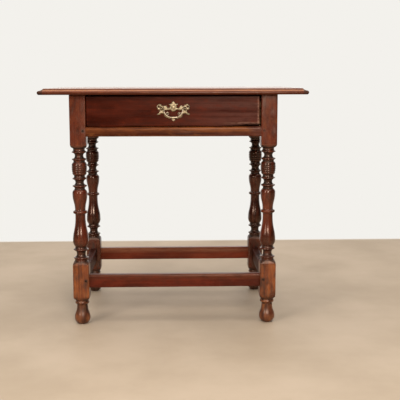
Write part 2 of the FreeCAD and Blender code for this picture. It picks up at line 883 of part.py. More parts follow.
def make_drawer_bottom():
    reach = side_inner + size.groove_depth - size.groove_clearance
    front = size.drawer_front_thickness - size.groove_depth + size.groove_clearance
    seam = drawer_depth * BOTTOM_SEAM_SHARE
    nail_line = drawer_depth - size.drawer_back_thickness / 2
    hole = size.nail_radius + size.nail_clearance
    spans = {"front": (front, seam), "back": (seam + size.bottom_seam, drawer_depth)}
    for name, (start, end) in spans.items():
        body = sub_part("PartDesign::Body", "drawer_bottom_" + name)
        extent = (2 * reach, end - start, size.bottom_thickness)
        block(body, "drawer_bottom_board_" + name, (-reach, start, size.bottom_rise), extent)
        if name == "back":
            for share in BOTTOM_NAIL_SHARES:
                low = (drawer_width * share, nail_line, size.bottom_rise - size.overrun)
                through = size.bottom_thickness + 2 * size.overrun
                rod(body, "drawer_bottom_nail_hole", low, Z_WAY, hole, through)
        seat(body, drawer_place)
    nails = []
    for share in BOTTOM_NAIL_SHARES:
        start = (drawer_width * share, nail_line, size.bottom_rise)
        nails.append(nail("drawer_bottom_nail", start, Z_WAY, size.bottom_nail_length))
    seat(group("drawer_bottom_nails", nails), drawer_place)


# Brass handle: a pierced plate, two posts with nuts inside the drawer, and the bail

# Right half: from the bottom point up the outside to the crown, down the middle line and round
# the opening. Across by half the width, up by the rise or down by the fall, then the bulge
# of the stretch that leads there
PLATE_HALF_SHARES = [
    (0.000, -1.000, 0),
    (0.115, -0.830, 0.150),
    (0.130, -0.765, -0.300),
    (0.330, -0.735, 0.200),
    (0.560, -0.550, 0.120),
    (0.620, -0.415, -0.150),
    (0.780, -0.440, -0.150),
    (0.920, -0.510, 0.100),
    (0.980, -0.390, 0.350),
    (0.850, -0.230, -0.200),
    (0.840, -0.120, -0.300),
    (0.990, 0.150, 0.250),
    (0.940, 0.500, 0.200),
    (0.770, 0.590, 0.200),
    (0.640, 0.375, 0.100),
    (0.575, 0.355, -0.300),
    (0.475, 0.440, 0.150),
    (0.365, 0.175, 0.200),
    (0.260, 0.130, -0.250),
    (0.210, 0.330, -0.250),
    (0.305, 0.520, -0.150),
    (0.160, 0.685, 0.100),
    (0.100, 0.820, -0.250),
    (0.000, 1.000, 0.150),
    # Opening under the cartouche
    (0.000, -0.230, 0),
    (0.150, -0.125, 0.200),
    (0.280, -0.100, 0),
    (0.500, -0.130, 0.100),
    (0.520, -0.330, -0.250),
    (0.360, -0.520, -0.120),
    (0.000, -0.640, -0.080),
]
PLATE_EYE_SHARES = (0.870, 0.255)
PLATE_EYE_RADIUS_SHARE = 0.045

handle_place = (drawer_middle, drawer_face, drawer_floor + size.post_rise)


def make_handle_plate():
    body = sub_part("PartDesign::Body", "handle_plate")
    points = []
    for across, up, bulge in PLATE_HALF_SHARES:
        level = (size.plate_rise if up > 0 else size.plate_fall) * up
        points.append((size.plate_width / 2 * across, level, bulge))
    sketch = outline(sketch_on(body, "XZ_Plane", "handle_plate_half"), points)
    half = pad(body, sketch, size.plate_thickness, both_ways=False)
    whole = body.newObject("PartDesign::Mirrored", "handle_plate_whole")
    whole.Originals = [half]
    whole.MirrorPlane = (origin_plane(body, "YZ_Plane"), [""])
    body.Tip = whole
    through = size.plate_thickness + 2 * size.overrun
    eye = [size.plate_width / 2 * PLATE_EYE_SHARES[0], size.plate_rise * PLATE_EYE_SHARES[1]]
    eye_radius = size.plate_width / 2 * PLATE_EYE_RADIUS_SHARE
    stud_hole = size.post_stud_radius + size.stud_clearance
    for sign in (-1, 1):
        for across, level, radius in ((*eye, eye_radius), (size.post_spacing / 2, NOTHING, stud_hole)):
            start = (across * sign, size.overrun, level)
            rod(body, "handle_plate_hole", start, -Y_WAY, radius, through)
    seat(body, handle_place)


def make_handle_posts():
    tail_end = size.drawer_front_thickness + size.nut_thickness + size.post_stud_tail
    collar_face = size.plate_thickness + size.post_collar_thickness
    nuts = []
    for side, sign in (("left", -1), ("right", 1)):
        label = "handle_post_" + side
        body = sub_part("PartDesign::Body", label)
        start = (NOTHING, tail_end, NOTHING)
        length = tail_end + size.plate_thickness
        rod(body, label + "_stud", start, -Y_WAY, size.post_stud_radius, length, "Additive")
        start = (NOTHING, -size.plate_thickness, NOTHING)
        thick = size.post_collar_thickness
        rod(body, label + "_collar", start, -Y_WAY, size.post_collar_radius, thick, "Additive")
        start = (NOTHING, -collar_face, NOTHING)
        length = size.pivot_reach - collar_face
        rod(body, label + "_neck", start, -Y_WAY, size.post_neck_radius, length, "Additive")
        ball = body.newObject("PartDesign::AdditiveSphere", label + "_ball")
        bind(ball, "Radius", size.post_ball_radius)
        seat(ball, (NOTHING, -size.pivot_reach, NOTHING))
        half = size.post_ball_radius + size.overrun
        hole = size.pivot_radius + size.pivot_clearance
        rod(body, label + "_pivot_hole", (-half, -size.pivot_reach, NOTHING), X_WAY, hole, 2 * half)
        across = size.post_spacing / 2 * sign
        seat(body, (handle_place[0] + across, handle_place[1], handle_place[2]))
        low = (across - size.nut_width / 2, size.drawer_front_thickness, -size.nut_width / 2)
        extent = (size.nut_width, size.nut_thickness, size.nut_width)
        square = block(None, "nut_square_" + side, low, extent)
        bore = size.post_stud_radius + size.stud_clearance
        start = (across, size.drawer_front_thickness - size.overrun, NOTHING)
        through = size.nut_thickness + 2 * size.overrun
        nut = doc.addObject("Part::Cut", "nut_" + side)
        nut.Base = square
        nut.Tool = rod(None, "nut_bore_" + side, start, Y_WAY, bore, through)
        nuts.append(nut)
    seat(group("handle_nuts", nuts), handle_place)


def bulge_of(first, last, radius):
    """The bulge share of an arc of a given radius between two points, less than a half turn."""
    half_chord = (vector(last) - vector(first)).Length / 2
    return math.tan(math.asin(half_chord / radius.value) / 2) / 2


def make_handle_bail():
    body = sub_part("PartDesign::Body", "handle_bail")
    half = size.bail_width / 2
    fall = size.bail_drop - size.bail_straight
    bend = size.bail_bend
    inner = half - bend
    sweep = (inner * inner + fall * fall - bend * bend) / ((fall - bend) * 2)
    reach = sweep / (sweep - bend)
    start = (-half, NOTHING, 0)
    knee = (-half, -size.bail_straight, 0)
    touch = (-inner * reach, sweep - size.bail_drop + (fall - sweep) * reach)
    side_bulge = bulge_of(knee, touch, bend)
    low_bulge = bulge_of(touch, (-touch[0], touch[1]), sweep)
    points = [
        start,
        knee,
        (*touch, side_bulge),
        (-touch[0], touch[1], low_bulge),
        (half, -size.bail_straight, side_bulge),
        (half, NOTHING, 0),
    ]
    path = outline(sketch_on(body, "XZ_Plane", "bail_path"), points, closed=False)
    ring = sketch_on(body, "XY_Plane", "bail_section")
    middle = FreeCAD.Vector(-half.value, 0, 0)
    ring.addGeometry(Part.Circle(middle, Z_WAY, size.bail_radius.value), False)
    rules = [
        Sketcher.Constraint("Radius", 0, size.bail_radius.value),
        Sketcher.Constraint("DistanceX", -1, 1, 0, 3, -half.value),
        Sketcher.Constraint("PointOnObject", 0, 3, -1),
    ]
    for rule, length in zip(ring.addConstraint(rules), (size.bail_radius, -half)):
        bind(ring, "Constraints[" + str(rule) + "]", length)
    doc.recompute()
    bar = body.newObject("PartDesign::AdditivePipe", "bail_bar")
    bar.Profile = ring
    bar.Spine = (path, ["Edge" + str(count + 1) for count in range(len(points) - 1)])
    doc.recompute()
    pin = size.post_spacing / 2 + size.post_ball_radius - size.pivot_end_room - half
    for sign in (-1, 1):
        end = (half * sign, NOTHING, NOTHING)
        knuckle = body.newObject("PartDesign::AdditiveSphere", "bail_knuckle")
        bind(knuckle, "Radius", size.bail_knuckle_radius)
        seat(knuckle, end)
        rod(body, "bail_pin", end, X_WAY * sign, size.pivot_radius, pin, "Additive")
    reach = size.bail_grip_length / 2
    swell = size.bail_grip_radius.value / size.bail_grip_length.value
    spindle = [(-reach, -size.bail_drop, 0), (reach, -size.bail_drop, swell)]
    profile = outline(sketch_on(body, "XZ_Plane", "bail_grip_profile"), spindle)
    grip = body.newObject("PartDesign::Revolution", "bail_grip")
    grip.Profile = profile
    grip.ReferenceAxis = (profile, ["Edge2"])
    grip.Angle = 360
    seat(body, (handle_place[0], handle_place[1] - size.pivot_reach, handle_place[2]))


leg_blank = make_leg_blank()
for leg_label, leg_corner in LEG_CORNERS.items():
    make_leg(leg_label, leg_corner, leg_blank)
for one_bar in bars:
    bar_body = make_bar(one_bar)
    if one_bar.label in ("rail_back", "rail_left", "rail_right"):
        drill_rail_top(bar_body, one_bar)
for peg_label in ("rail_pegs", "stretcher_pegs"):
    make_joint_pegs(peg_label)
make_top_board("top_board_front", -1)
make_top_board("top_board_back", 1)
make_top_pegs()
make_drawer_carriage()
make_drawer_front()
make_drawer_side("left", -1)
make_drawer_side("right", 1)
make_drawer_back()
make_drawer_bottom()
make_handle_plate()
make_handle_posts()
make_handle_bail()
doc.recompute()

for item in doc.Objects:
    if "Invalid" in item.State or "Error" in item.State:
        raise RuntimeError(item.Label + " failed: " + str(item.State))
for item in sub_parts:
    if item.Shape.isNull() or not item.Shape.isValid():
        raise RuntimeError(item.Label + " has no valid shape")
os.makedirs("parts", exist_ok=True)
for item in sub_parts:
    item.Shape.exportStep("parts/" + item.Label + ".step")
    print(item.Label, len(item.Shape.Solids), "solids", round(item.Shape.Volume), "mm3")
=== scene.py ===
import math

import bmesh
import bpy
import numpy as np
from mathutils import Matrix, Vector, noise


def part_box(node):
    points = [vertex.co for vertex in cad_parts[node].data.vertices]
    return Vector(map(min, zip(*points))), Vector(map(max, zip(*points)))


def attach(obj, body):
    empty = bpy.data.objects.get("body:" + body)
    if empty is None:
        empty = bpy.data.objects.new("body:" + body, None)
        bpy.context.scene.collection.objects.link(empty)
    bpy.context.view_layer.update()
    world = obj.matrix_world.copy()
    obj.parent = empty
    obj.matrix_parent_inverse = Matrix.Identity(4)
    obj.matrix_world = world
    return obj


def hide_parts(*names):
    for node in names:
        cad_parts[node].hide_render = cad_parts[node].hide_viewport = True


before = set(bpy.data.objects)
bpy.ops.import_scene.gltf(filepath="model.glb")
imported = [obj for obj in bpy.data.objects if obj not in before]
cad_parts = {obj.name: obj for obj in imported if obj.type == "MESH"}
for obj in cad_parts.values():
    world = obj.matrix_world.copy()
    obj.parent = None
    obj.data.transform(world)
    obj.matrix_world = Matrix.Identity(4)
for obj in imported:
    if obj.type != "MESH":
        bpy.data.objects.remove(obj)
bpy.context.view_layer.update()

# Legs: four square billets of a dense red-brown hardwood, turned on the lathe between the blocks
# and at the foot. The blocks keep their sawn square, with the arrises rubbed round by hands, and
# dirt and old wax have gone black in the hollows.
LEGS = {"leg_front_left": 3.0, "leg_front_right": 11.0, "leg_rear_left": 19.0, "leg_rear_right": 27.0}
FOOT_TURNED_TO = 0.0897
SHAFT_TURNED = (0.1846, 0.5597)
OUTLINE_FINEST = 0.00025
OUTLINE_STEP = 0.002
MERGE_WITHIN = 0.00001
LEG_COLUMNS = 128
LEG_CROWDING = 1.6
LEG_SQUARENESS = 16.0
LEG_SWELL = 0.0007
LEG_AGE = {"Swell": LEG_SWELL, "Chipping": 0.0012, "Arris": 0.0022, "Pitch": (45.0, 45.0, 14.0)}
RINGS_TURNED = (0.1986, 0.5452)
RINGS_RUBBED = 0.3
SHOULDER_FROM = 0.0212
SHOULDER_REACH = 0.014
SHOULDER_STEPS = 14
END_WORN_IN = 0.0034
SHOULDER_STEEP = (0.12, 0.45)
SHOULDER_FOUL = 0.8
FOOT_TOP = 0.0762
SCUFF_PITCH = (75.0, 75.0, 36.0)
LOW_SCUFFS = 1.1
HIGH_SCUFFS = 0.4
BARREL_LINES = (0.4719, 0.4782, 0.4846, 0.4909)
LINE_REACH = 0.00315
LINE_DEEP = 0.0018
LINE_STEP = 0.0004
LINE_CUT = 0.0013
WAX_TINT = "ffdcc6"
# Each unevenness of the wood: its grains to the metre across and along the wood, and its detail
WOOD_NOISE = {
    "wander": (9.0, 1.6, 2.0), "blotch": (16.0, 5.0, 2.0), "streak": (130.0, 2.2, 4.0),
    "fibre": (1300.0, 40.0, 2.0), "pore": (2300.0, 130.0, 1.0), "scuffs": (260.0, 60.0, 3.0),
    "seam": (85.0, 2.5, 1.0), "broken": (60.0, 22.0, 2.0), "coarse": (420.0, 11.0, 2.0),
    "patch": (70.0, 26.0, 5.0),
}
WANDER_FAR = 0.035
FROM_PITH = (0.07, -0.11, 0.0)
ZONE_SHARE = 0.9
ZONE_WAVER = 0.004
WOOD_RELIEF = {"Strength": 0.16, "Distance": 0.0004}


def tone(code):
    """A colour as the eye sees it, six hex digits, turned into the linear values of a shader."""
    parts = [int(code[at:at + 2], 16) / 255 for at in (0, 2, 4)]
    return (*(((one + 0.055) / 1.055) ** 2.4 if one > 0.04 else one / 12.92 for one in parts), 1.0)


def put(tree, kind, inputs=None, **options):
    """Add a node, set its options, then fill or link its inputs by name or number."""
    node = tree.nodes.new(kind)
    for option, value in options.items():
        setattr(node, option, value)
    for key, value in (inputs or {}).items():
        if isinstance(value, bpy.types.NodeSocket):
            tree.links.new(value, node.inputs[key])
        else:
            node.inputs[key].default_value = value
    return node


def work(tree, operation, *values):
    """One sum on numbers."""
    return put(tree, "ShaderNodeMath", dict(enumerate(values)), operation=operation).outputs[0]


def times(tree, first, second):
    """Two numbers multiplied."""
    return work(tree, "MULTIPLY", first, second)


def less(tree, first, second):
    """The second number taken from the first."""
    return work(tree, "SUBTRACT", first, second)


def scaled(tree, value, by, start):
    """A number times another, added to a third."""
    return work(tree, "MULTIPLY_ADD", value, by, start)


def work_ways(tree, operation, *values):
    """One sum on vectors, or the number that it gives."""
    node = put(tree, "ShaderNodeVectorMath", dict(enumerate(values)), operation=operation)
    return node.outputs["Value" if operation in ("DOT_PRODUCT", "LENGTH", "DISTANCE") else "Vector"]


def grown(tree, way, length):
    """A vector times a number."""
    return put(tree, "ShaderNodeVectorMath", {0: way, "Scale": length}, operation="SCALE").outputs[0]


def split(tree, way):
    """The three numbers of a vector."""
    return put(tree, "ShaderNodeSeparateXYZ", {0: way}).outputs


def joined(tree, numbers):
    """A vector from numbers by their places."""
    return put(tree, "ShaderNodeCombineXYZ", numbers).outputs[0]


def ease(tree, value, low, high, first=0.0, last=1.0):
    """A smooth step from the first result to the last as a value goes from low to high."""
    ends = {0: value, 1: low, 2: high, 3: first, 4: last}
    return put(tree, "ShaderNodeMapRange", ends, interpolation_type="SMOOTHSTEP").outputs[0]


def blend(tree, share, first, second):
    """The second colour laid over the first by a share."""
    return put(tree, "ShaderNodeMix", {0: share, 6: first, 7: second}, data_type="RGBA").outputs[2]


def speckle(tree, spot, pitch, seed=0.0, detail=2.0):
    """Noise with so many grains to the metre along each axis."""
    spread = work_ways(tree, "MULTIPLY", spot, pitch)
    inputs = {"Vector": spread, "W": seed, "Scale": 1.0, "Detail": detail, "Roughness": 0.55}
    return put(tree, "ShaderNodeTexNoise", inputs, noise_dimensions="4D")


def mark(tree, name):
    """What the mesh says of each place by an attribute of its own."""
    return put(tree, "ShaderNodeAttribute", attribute_name=name).outputs["Fac"]


def new_material(name):
    """An empty material, its tree of nodes, and the places on the object that it colours."""
    material = bpy.data.materials.new(name)
    material.use_nodes = True
    tree = material.node_tree
    tree.nodes.clear()
    return material, tree, put(tree, "ShaderNodeTexCoord").outputs["Object"]


def coat(tree, relief, inputs):
    """Close a material with its surface and the fine relief on it."""
    bump = put(tree, "ShaderNodeBump", relief)
    shader = put(tree, "ShaderNodeBsdfPrincipled", {**inputs, "Normal": bump.outputs[0]})
    put(tree, "ShaderNodeOutputMaterial", {0: shader.outputs[0]})


def aged_wood(
    name, along, tones, ring=0.0034, grain=0.22, polish=0.22, gloss=0.28, mottle=0.25, zones=(), seed=0.0,
):
    """Old waxed timber: growth rings, fibres and pores, rubbed arrises and black in the hollows.

    The tones are dark, mid, light, rubbed and grime. The grain is how strongly the rings and fibres
    show, and the mottle how far patches depart from the tones. Each zone gives an axis, two places
    on it, a tone and a share of cracks: the wood goes over to these from the first to the second.
    """
    material, tree, spot = new_material(name)
    dark, mid, light, rubbed, grime = (tone(one) for one in tones)
    sides = split(tree, spot)
    order = {"X": (1, 2, 0), "Y": (0, 2, 1), "Z": (0, 1, 2)}[along]
    lay = joined(tree, {at: sides[one] for at, one in enumerate(order)})

    uneven = {}
    for number, (what, (across, lengthwise, detail)) in enumerate(WOOD_NOISE.items()):
        uneven[what] = speckle(tree, lay, (across, across, lengthwise), seed + number, detail).outputs
    blotch, streak, fibre, scuffs, patch = (
        uneven[what][0] for what in ("blotch", "streak", "fibre", "scuffs", "patch")
    )
    bent = work_ways(tree, "ADD", lay, grown(tree, uneven["wander"]["Color"], WANDER_FAR))
    from_pith = work_ways(tree, "MULTIPLY", work_ways(tree, "ADD", bent, FROM_PITH), (1.0, 1.0, 0.0))
    turn = times(tree, work_ways(tree, "LENGTH", from_pith), math.tau / ring)
    rings = ease(tree, work(tree, "SINE", turn), 0.1, 0.95)
    pore = ease(tree, uneven["pore"][0], 0.62, 0.72)

    colour = blend(tree, ease(tree, blotch, 0.34, 0.64), dark, mid)
    colour = blend(tree, ease(tree, streak, 0.48, 0.72, 0.0, 0.6), colour, light)
    colour = blend(tree, ease(tree, streak, 0.44, 0.28, 0.0, 0.55), colour, dark)
    seam = work(tree, "ABSOLUTE", less(tree, uneven["seam"][0], 0.5))
    opened = times(tree, ease(tree, seam, 0.026, 0.004), ease(tree, uneven["broken"][0], 0.46, 0.58))
    coarse = ease(tree, uneven["coarse"][0], 0.50, 0.66, 0.0, 0.75)
    dry = 0.0
    for axis, start, end, zone_tone, cracked in zones:
        waver = math.copysign(max(abs(end - start) / 2, ZONE_WAVER), end - start)
        ragged = scaled(tree, patch, waver, sides["XYZ".index(axis)])
        share = ease(tree, ragged, start + waver / 2, end + waver / 2)
        changed = blend(tree, ease(tree, streak, 0.60, 0.34, 0.0, 0.8), tone(zone_tone), mid)
        changed = blend(tree, ease(tree, streak, 0.47, 0.34, 0.0, 0.5 + 0.45 * cracked), changed, dark)
        changed = blend(tree, times(tree, coarse, cracked), changed, dark)
        colour = blend(tree, times(tree, share, ZONE_SHARE), colour, changed)
        dry = work(tree, "MAXIMUM", times(tree, share, cracked), dry)
    crack = times(tree, opened, dry)
    smudged = scaled(tree, dry, 0.3, mottle)
    colour = blend(tree, times(tree, ease(tree, patch, 0.47, 0.66), smudged), colour, dark)
    cleaner = scaled(tree, dry, -mottle, mottle)
    colour = blend(tree, times(tree, ease(tree, patch, 0.46, 0.30), cleaner), colour, light)
    colour = blend(tree, times(tree, rings, grain), colour, dark)
    colour = blend(tree, ease(tree, fibre, 0.48, 0.72, 0.0, grain), colour, dark)
    bare = times(tree, mark(tree, "worn"), ease(tree, scuffs, 0.32, 0.60, 0.05, 0.85))
    colour = blend(tree, bare, colour, rubbed)
    foul = times(tree, mark(tree, "grime"), ease(tree, scuffs, 0.70, 0.40, 0.55, 1.0))
    colour = blend(tree, times(tree, pore, 0.35), colour, grime)
    colour = blend(tree, work(tree, "MAXIMUM", foul, crack), colour, grime)

    dull = scaled(tree, fibre, 0.14, polish - 0.06)
    for part, share in ((ease(tree, blotch, 0.4, 0.65), 0.07), (foul, 0.45), (pore, 0.35), (dry, 0.14)):
        dull = scaled(tree, part, share, dull)
    height = times(tree, fibre, 0.5)
    for part, share in ((rings, 0.2), (pore, -0.15), (streak, 0.5), (crack, -4.0)):
        height = scaled(tree, part, share, height)
    coat(tree, {**WOOD_RELIEF, "Height": height}, {
        "Base Color": colour, "Roughness": dull, "Specular IOR Level": gloss,
        "Specular Tint": tone(WAX_TINT),
    })
    return material


def new_tree(name, inputs):
    """An empty tree of geometry nodes with named inputs, and the sockets that give them."""
    tree = bpy.data.node_groups.new(name, "GeometryNodeTree")
    tree.interface.new_socket("Geometry", in_out="INPUT", socket_type="NodeSocketGeometry")
    tree.interface.new_socket("Geometry", in_out="OUTPUT", socket_type="NodeSocketGeometry")
    for label, kind in inputs.items():
        tree.interface.new_socket(label, in_out="INPUT", socket_type="NodeSocket" + kind)
    return tree, tree.nodes.new("NodeGroupInput").outputs


def keep_mark(tree, geometry, name, value):
    """Write a number for each place into the mesh, as an attribute of its own."""
    inputs = {"Geometry": geometry, "Name": name, "Value": value}
    return put(tree, "GeometryNodeStoreNamedAttribute", inputs, data_type="FLOAT").outputs[0]


def blurred(tree, value, kind):
    """What the mesh says of each place, spread over the places near it."""
    inputs = {"Value": value, "Iterations": BLUR_ROUNDS}
    return put(tree, "GeometryNodeBlurAttribute", inputs, data_type=kind).outputs[0]


BLUR_ROUNDS = 4
LEAST_SPREAD = 0.0000001
ARRIS_TO_SHARP = 4.0
CHIPS_FINER = 5.0
AGE = {"Swell": "Float", "Chipping": "Float", "Arris": "Float", "Pitch": "Vector", "Seed": "Float"}
FINISH = {**AGE, "Material": "Material"}
aged, given = new_tree("aged_surface", AGE)
spot = put(aged, "GeometryNodeInputPosition").outputs[0]
facing = put(aged, "GeometryNodeInputNormal").outputs[0]
soft = blurred(aged, spot, "FLOAT_VECTOR")
square = blurred(aged, work_ways(aged, "DOT_PRODUCT", spot, spot), "FLOAT")
spread = less(aged, square, work_ways(aged, "DOT_PRODUCT", soft, soft))
spread = work(aged, "MAXIMUM", spread, LEAST_SPREAD)
lift = work_ways(aged, "DOT_PRODUCT", work_ways(aged, "SUBTRACT", spot, soft), facing)
# The lift over the spread is the mean curvature, one over twice the radius on an arris
curved = work(aged, "DIVIDE", lift, spread)
sharp = times(aged, curved, times(aged, given["Arris"], ARRIS_TO_SHARP))
worn = ease(aged, sharp, 0.35, 1.2)
grime = ease(aged, sharp, -0.05, -0.42)
slow = less(aged, speckle(aged, spot, given["Pitch"], given["Seed"]).outputs[0], 0.5)
quick_pitch = grown(aged, given["Pitch"], CHIPS_FINER)
quick = ease(aged, speckle(aged, spot, quick_pitch, given["Seed"]).outputs[0], 0.42, 0.80)
bite = times(aged, times(aged, worn, quick), given["Chipping"])
moved = less(aged, times(aged, slow, given["Swell"]), bite)
body = keep_mark(aged, given["Geometry"], "worn", worn)
body = keep_mark(aged, body, "grime", grime)
body = put(aged, "GeometryNodeSetPosition", {"Geometry": body, "Offset": grown(aged, facing, moved)})
put(aged, "NodeGroupOutput", {0: body.outputs[0]})


def finish_tree(tree, given, geometry):
    """Age the surface, smooth it, join what is instanced and give it its material."""
    inputs = {"Geometry": geometry, **{label: given[label] for label in AGE}}
    body = put(tree, "GeometryNodeGroup", inputs, node_tree=aged).outputs[0]
    body = put(tree, "GeometryNodeSetShadeSmooth", {"Geometry": body}).outputs[0]
    body = put(tree, "GeometryNodeRealizeInstances", {"Geometry": body}).outputs[0]
    body = put(tree, "GeometryNodeSetMaterial", {"Geometry": body, "Material": given["Material"]})
    put(tree, "NodeGroupOutput", {0: body.outputs[0]})


def point_mesh(name, points, faces=()):
    """A mesh of points, with faces by the numbers of their points."""
    mesh = bpy.data.meshes.new(name)
    mesh.from_pydata([tuple(one) for one in points], [], [tuple(one) for one in faces])
    return mesh


def made(name, mesh, tree, values, remesh=None):
    """Run a tree on a mesh and keep what comes out as the plain mesh of a new object."""
    piece = bpy.data.objects.new(name, mesh)
    bpy.context.scene.collection.objects.link(piece)
    if remesh:
        even = piece.modifiers.new("even_mesh", "REMESH")
        even.mode = "VOXEL"
        even.voxel_size = remesh
    modifier = piece.modifiers.new(tree.name, "NODES")
    modifier.node_group = tree
    for item in tree.interface.items_tree:
        if item.in_out == "INPUT" and item.name in values:
            modifier[item.identifier] = values[item.name]
    shown = piece.evaluated_get(bpy.context.evaluated_depsgraph_get())
    result = bpy.data.meshes.new_from_object(shown)
    piece.modifiers.clear()
    piece.data = result
    result.name = name
    return piece


def settle(piece, ridden, slot, *nodes):
    """Hang a piece on the body that carries it and hide the nodes that it stands for; the finish it is
    given is not used.
    """
    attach(piece, ridden)
    if nodes:
        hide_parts(*nodes)


def fill_gaps(points, step):
    """The points of a line, with more put in where two lie further apart than the step."""
    filled = [points[0]]
    for first, last in zip(points, points[1:]):
        count = max(1, math.ceil((last - first).length / step))
        filled += [first.lerp(last, turn / count) for turn in range(1, count + 1)]
    return filled


def scored(line):
    """The outline with the wood rounded over between the scored lines of the barrel."""
    first, last = BARREL_LINES[0] - LINE_REACH, BARREL_LINES[-1] + LINE_REACH
    plain = [one for one in line if min(abs(one.z - cut) for cut in BARREL_LINES) > LINE_CUT]
    beads = []
    for up in np.arange(first, last, LINE_STEP):
        near = max(0.0, 1.0 - min(abs(up - cut) for cut in BARREL_LINES) / LINE_REACH)
        out = np.interp(up, [one.z for one in plain], [one.x for one in plain])
        beads.append(Vector((out - LINE_DEEP * (1.0 - math.sqrt(1.0 - near**2)), line[0].y, up)))
    below = [one for one in line if one.z < first]
    above = [one for one in line if one.z > last]
    return below + beads + above


def shoulder(end, way, corner):
    """The end of a block, where the lathe cut its corners round and wear has drawn it in."""
    points = []
    for step in range(SHOULDER_STEPS + 1):
        full = math.sin(math.pi / 2 * step / SHOULDER_STEPS)
        up = end.z + way * SHOULDER_REACH * step / SHOULDER_STEPS
        points.append(Vector((end.x + (corner - end.x) * full, end.y - END_WORN_IN * (1.0 - full), up)))
    return points[::way]


def turned_outline(node):
    """The turner's outline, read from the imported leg: out from the axis along X, and up.

    Its Y is half the width of the square that is left there.
    """
    low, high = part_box(node)
    axis = (low + high) / 2
    half = (high.x - low.x) / 2
    corner = half * math.sqrt(2)
    rows = {}
    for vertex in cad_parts[node].data.vertices:
        out = math.hypot(vertex.co.x - axis.x, vertex.co.y - axis.y)
        up = vertex.co.z
        if up < FOOT_TURNED_TO or SHAFT_TURNED[0] < up < SHAFT_TURNED[1]:
            place = Vector((out, half, max(up, LEG_SWELL / 2)))
            rows.setdefault(round(up / OUTLINE_FINEST), place)
    line = [rows[row] for row in sorted(rows)]
    foot = [one for one in line if one.z < FOOT_TURNED_TO]
    shaft = [one for one in line if one.z > FOOT_TURNED_TO]
    for part, at in ((foot, -1), (shaft, 0), (shaft, -1)):
        while part[at].x > SHOULDER_FROM:
            part.pop(at)
    line = foot + shoulder(foot[-1], 1, corner) + shoulder(shaft[0], -1, corner)
    line += scored(shaft) + shoulder(shaft[-1], 1, corner)
    ends = [Vector((0.0, half, line[0].z)), Vector((corner, half, high.z)), Vector((0.0, half, high.z))]
    return fill_gaps(ends[:1] + line + ends[1:], OUTLINE_STEP)


def unrolled(tree, columns, rows):
    """A flat grid to be bent into a skin, and each point's share of the way over it and up it."""
    size = {"Size X": 1.0, "Size Y": 1.0, "Vertices X": columns, "Vertices Y": rows}
    skin = put(tree, "GeometryNodeMeshGrid", size).outputs["Mesh"]
    over, up, _ = split(tree, put(tree, "GeometryNodeInputPosition").outputs[0])
    return skin, work(tree, "ADD", over, 0.5), work(tree, "ADD", up, 0.5)


def point_count(tree, outline):
    """How many points an outline has."""
    return put(tree, "GeometryNodeAttributeDomainSize", {0: outline}).outputs["Point Count"]


def outline_at(tree, outline, number):
    """Where the point of an outline with this number lies, as three numbers."""
    spot = put(tree, "GeometryNodeInputPosition").outputs[0]
    inputs = {0: outline, "Value": spot, "Index": number}
    return split(tree, put(tree, "GeometryNodeSampleIndex", inputs, data_type="FLOAT_VECTOR").outputs[0])


def closed_skin(tree, skin, place):
    """A grid bent into a closed skin, with the points that meet made one."""
    skin = put(tree, "GeometryNodeSetPosition", {"Geometry": skin, "Position": place}).outputs[0]
    inputs = {"Geometry": skin, "Distance": MERGE_WITHIN}
    return put(tree, "GeometryNodeMergeByDistance", inputs).outputs[0]


def wear(piece, rule, *sizes):
    """Set how dirty and how rubbed each point of a piece is, by a rule, which may also lay painted shade
    into the grime and painted highlight into the wear.
    """
    dirt, pale = (piece.data.attributes[name].data for name in ("grime", "worn"))
    for vertex, foul, rubbed in zip(piece.data.vertices, dirt, pale):
        foul.value, rubbed.value = rule(vertex, foul.value, rubbed.value, *sizes)


def leg_wear(vertex, foul, rubbed):
    """Rings that keep their wax, scuffed blocks and foot, and black on the cut shoulders."""
    up = vertex.co.z
    if RINGS_TURNED[0] < up < RINGS_TURNED[1]:
        return foul, rubbed * RINGS_RUBBED
    scuff = noise.noise(vertex.co * Vector(SCUFF_PITCH))
    scuff *= LOW_SCUFFS if up < SHAFT_TURNED[0] else HIGH_SCUFFS
    foul, rubbed = min(1.0, max(foul, scuff)), min(1.0, max(rubbed, -scuff))
    if up < FOOT_TOP:
        return foul, rubbed
    steep = np.interp(abs(vertex.normal.z), SHOULDER_STEEP, (0.0, 1.0))
    return max(foul, SHOULDER_FOUL * steep), rubbed * (1.0 - steep)


billet, given = new_tree("turned_billet", {
    "Axis": "Vector", "Squareness": "Float", "Columns": "Int", **FINISH,
})
rows = point_count(billet, given["Geometry"])
skin, round_share, up_share = unrolled(billet, work(billet, "ADD", given["Columns"], 1.0), rows)
row = work(billet, "ROUND", times(billet, up_share, less(billet, rows, 1.0)))
line = outline_at(billet, given["Geometry"], row)
# Columns crowd towards the four arrises, where the square is rounded
quarter = times(billet, round_share, 4.0)
lean = scaled(billet, work(billet, "FRACT", quarter), 2.0, -1.0)
crowded = work(billet, "POWER", less(billet, 1.0, work(billet, "ABSOLUTE", lean)), LEG_CROWDING)
crowded = times(billet, less(billet, 1.0, crowded), work(billet, "SIGN", lean))
angle = scaled(billet, crowded, 0.5, work(billet, "FLOOR", quarter))
angle = times(billet, angle, math.pi / 2)
over, along = work(billet, "COSINE", angle), work(billet, "SINE", angle)
flat, steep = work(billet, "ABSOLUTE", over), work(billet, "ABSOLUTE", along)
most, least = work(billet, "MAXIMUM", flat, steep), work(billet, "MINIMUM", flat, steep)
ratio = work(billet, "POWER", work(billet, "DIVIDE", least, most), given["Squareness"])
root = work(billet, "DIVIDE", 1.0, given["Squareness"])
rounding = work(billet, "POWER", work(billet, "ADD", ratio, 1.0), root)
square = work(billet, "DIVIDE", line[1], times(billet, most, rounding))
reach = work(billet, "MINIMUM", line[0], square)
place = joined(billet, {
    0: times(billet, reach, over), 1: times(billet, reach, along), 2: line[2],
})
place = work_ways(billet, "ADD", place, given["Axis"])
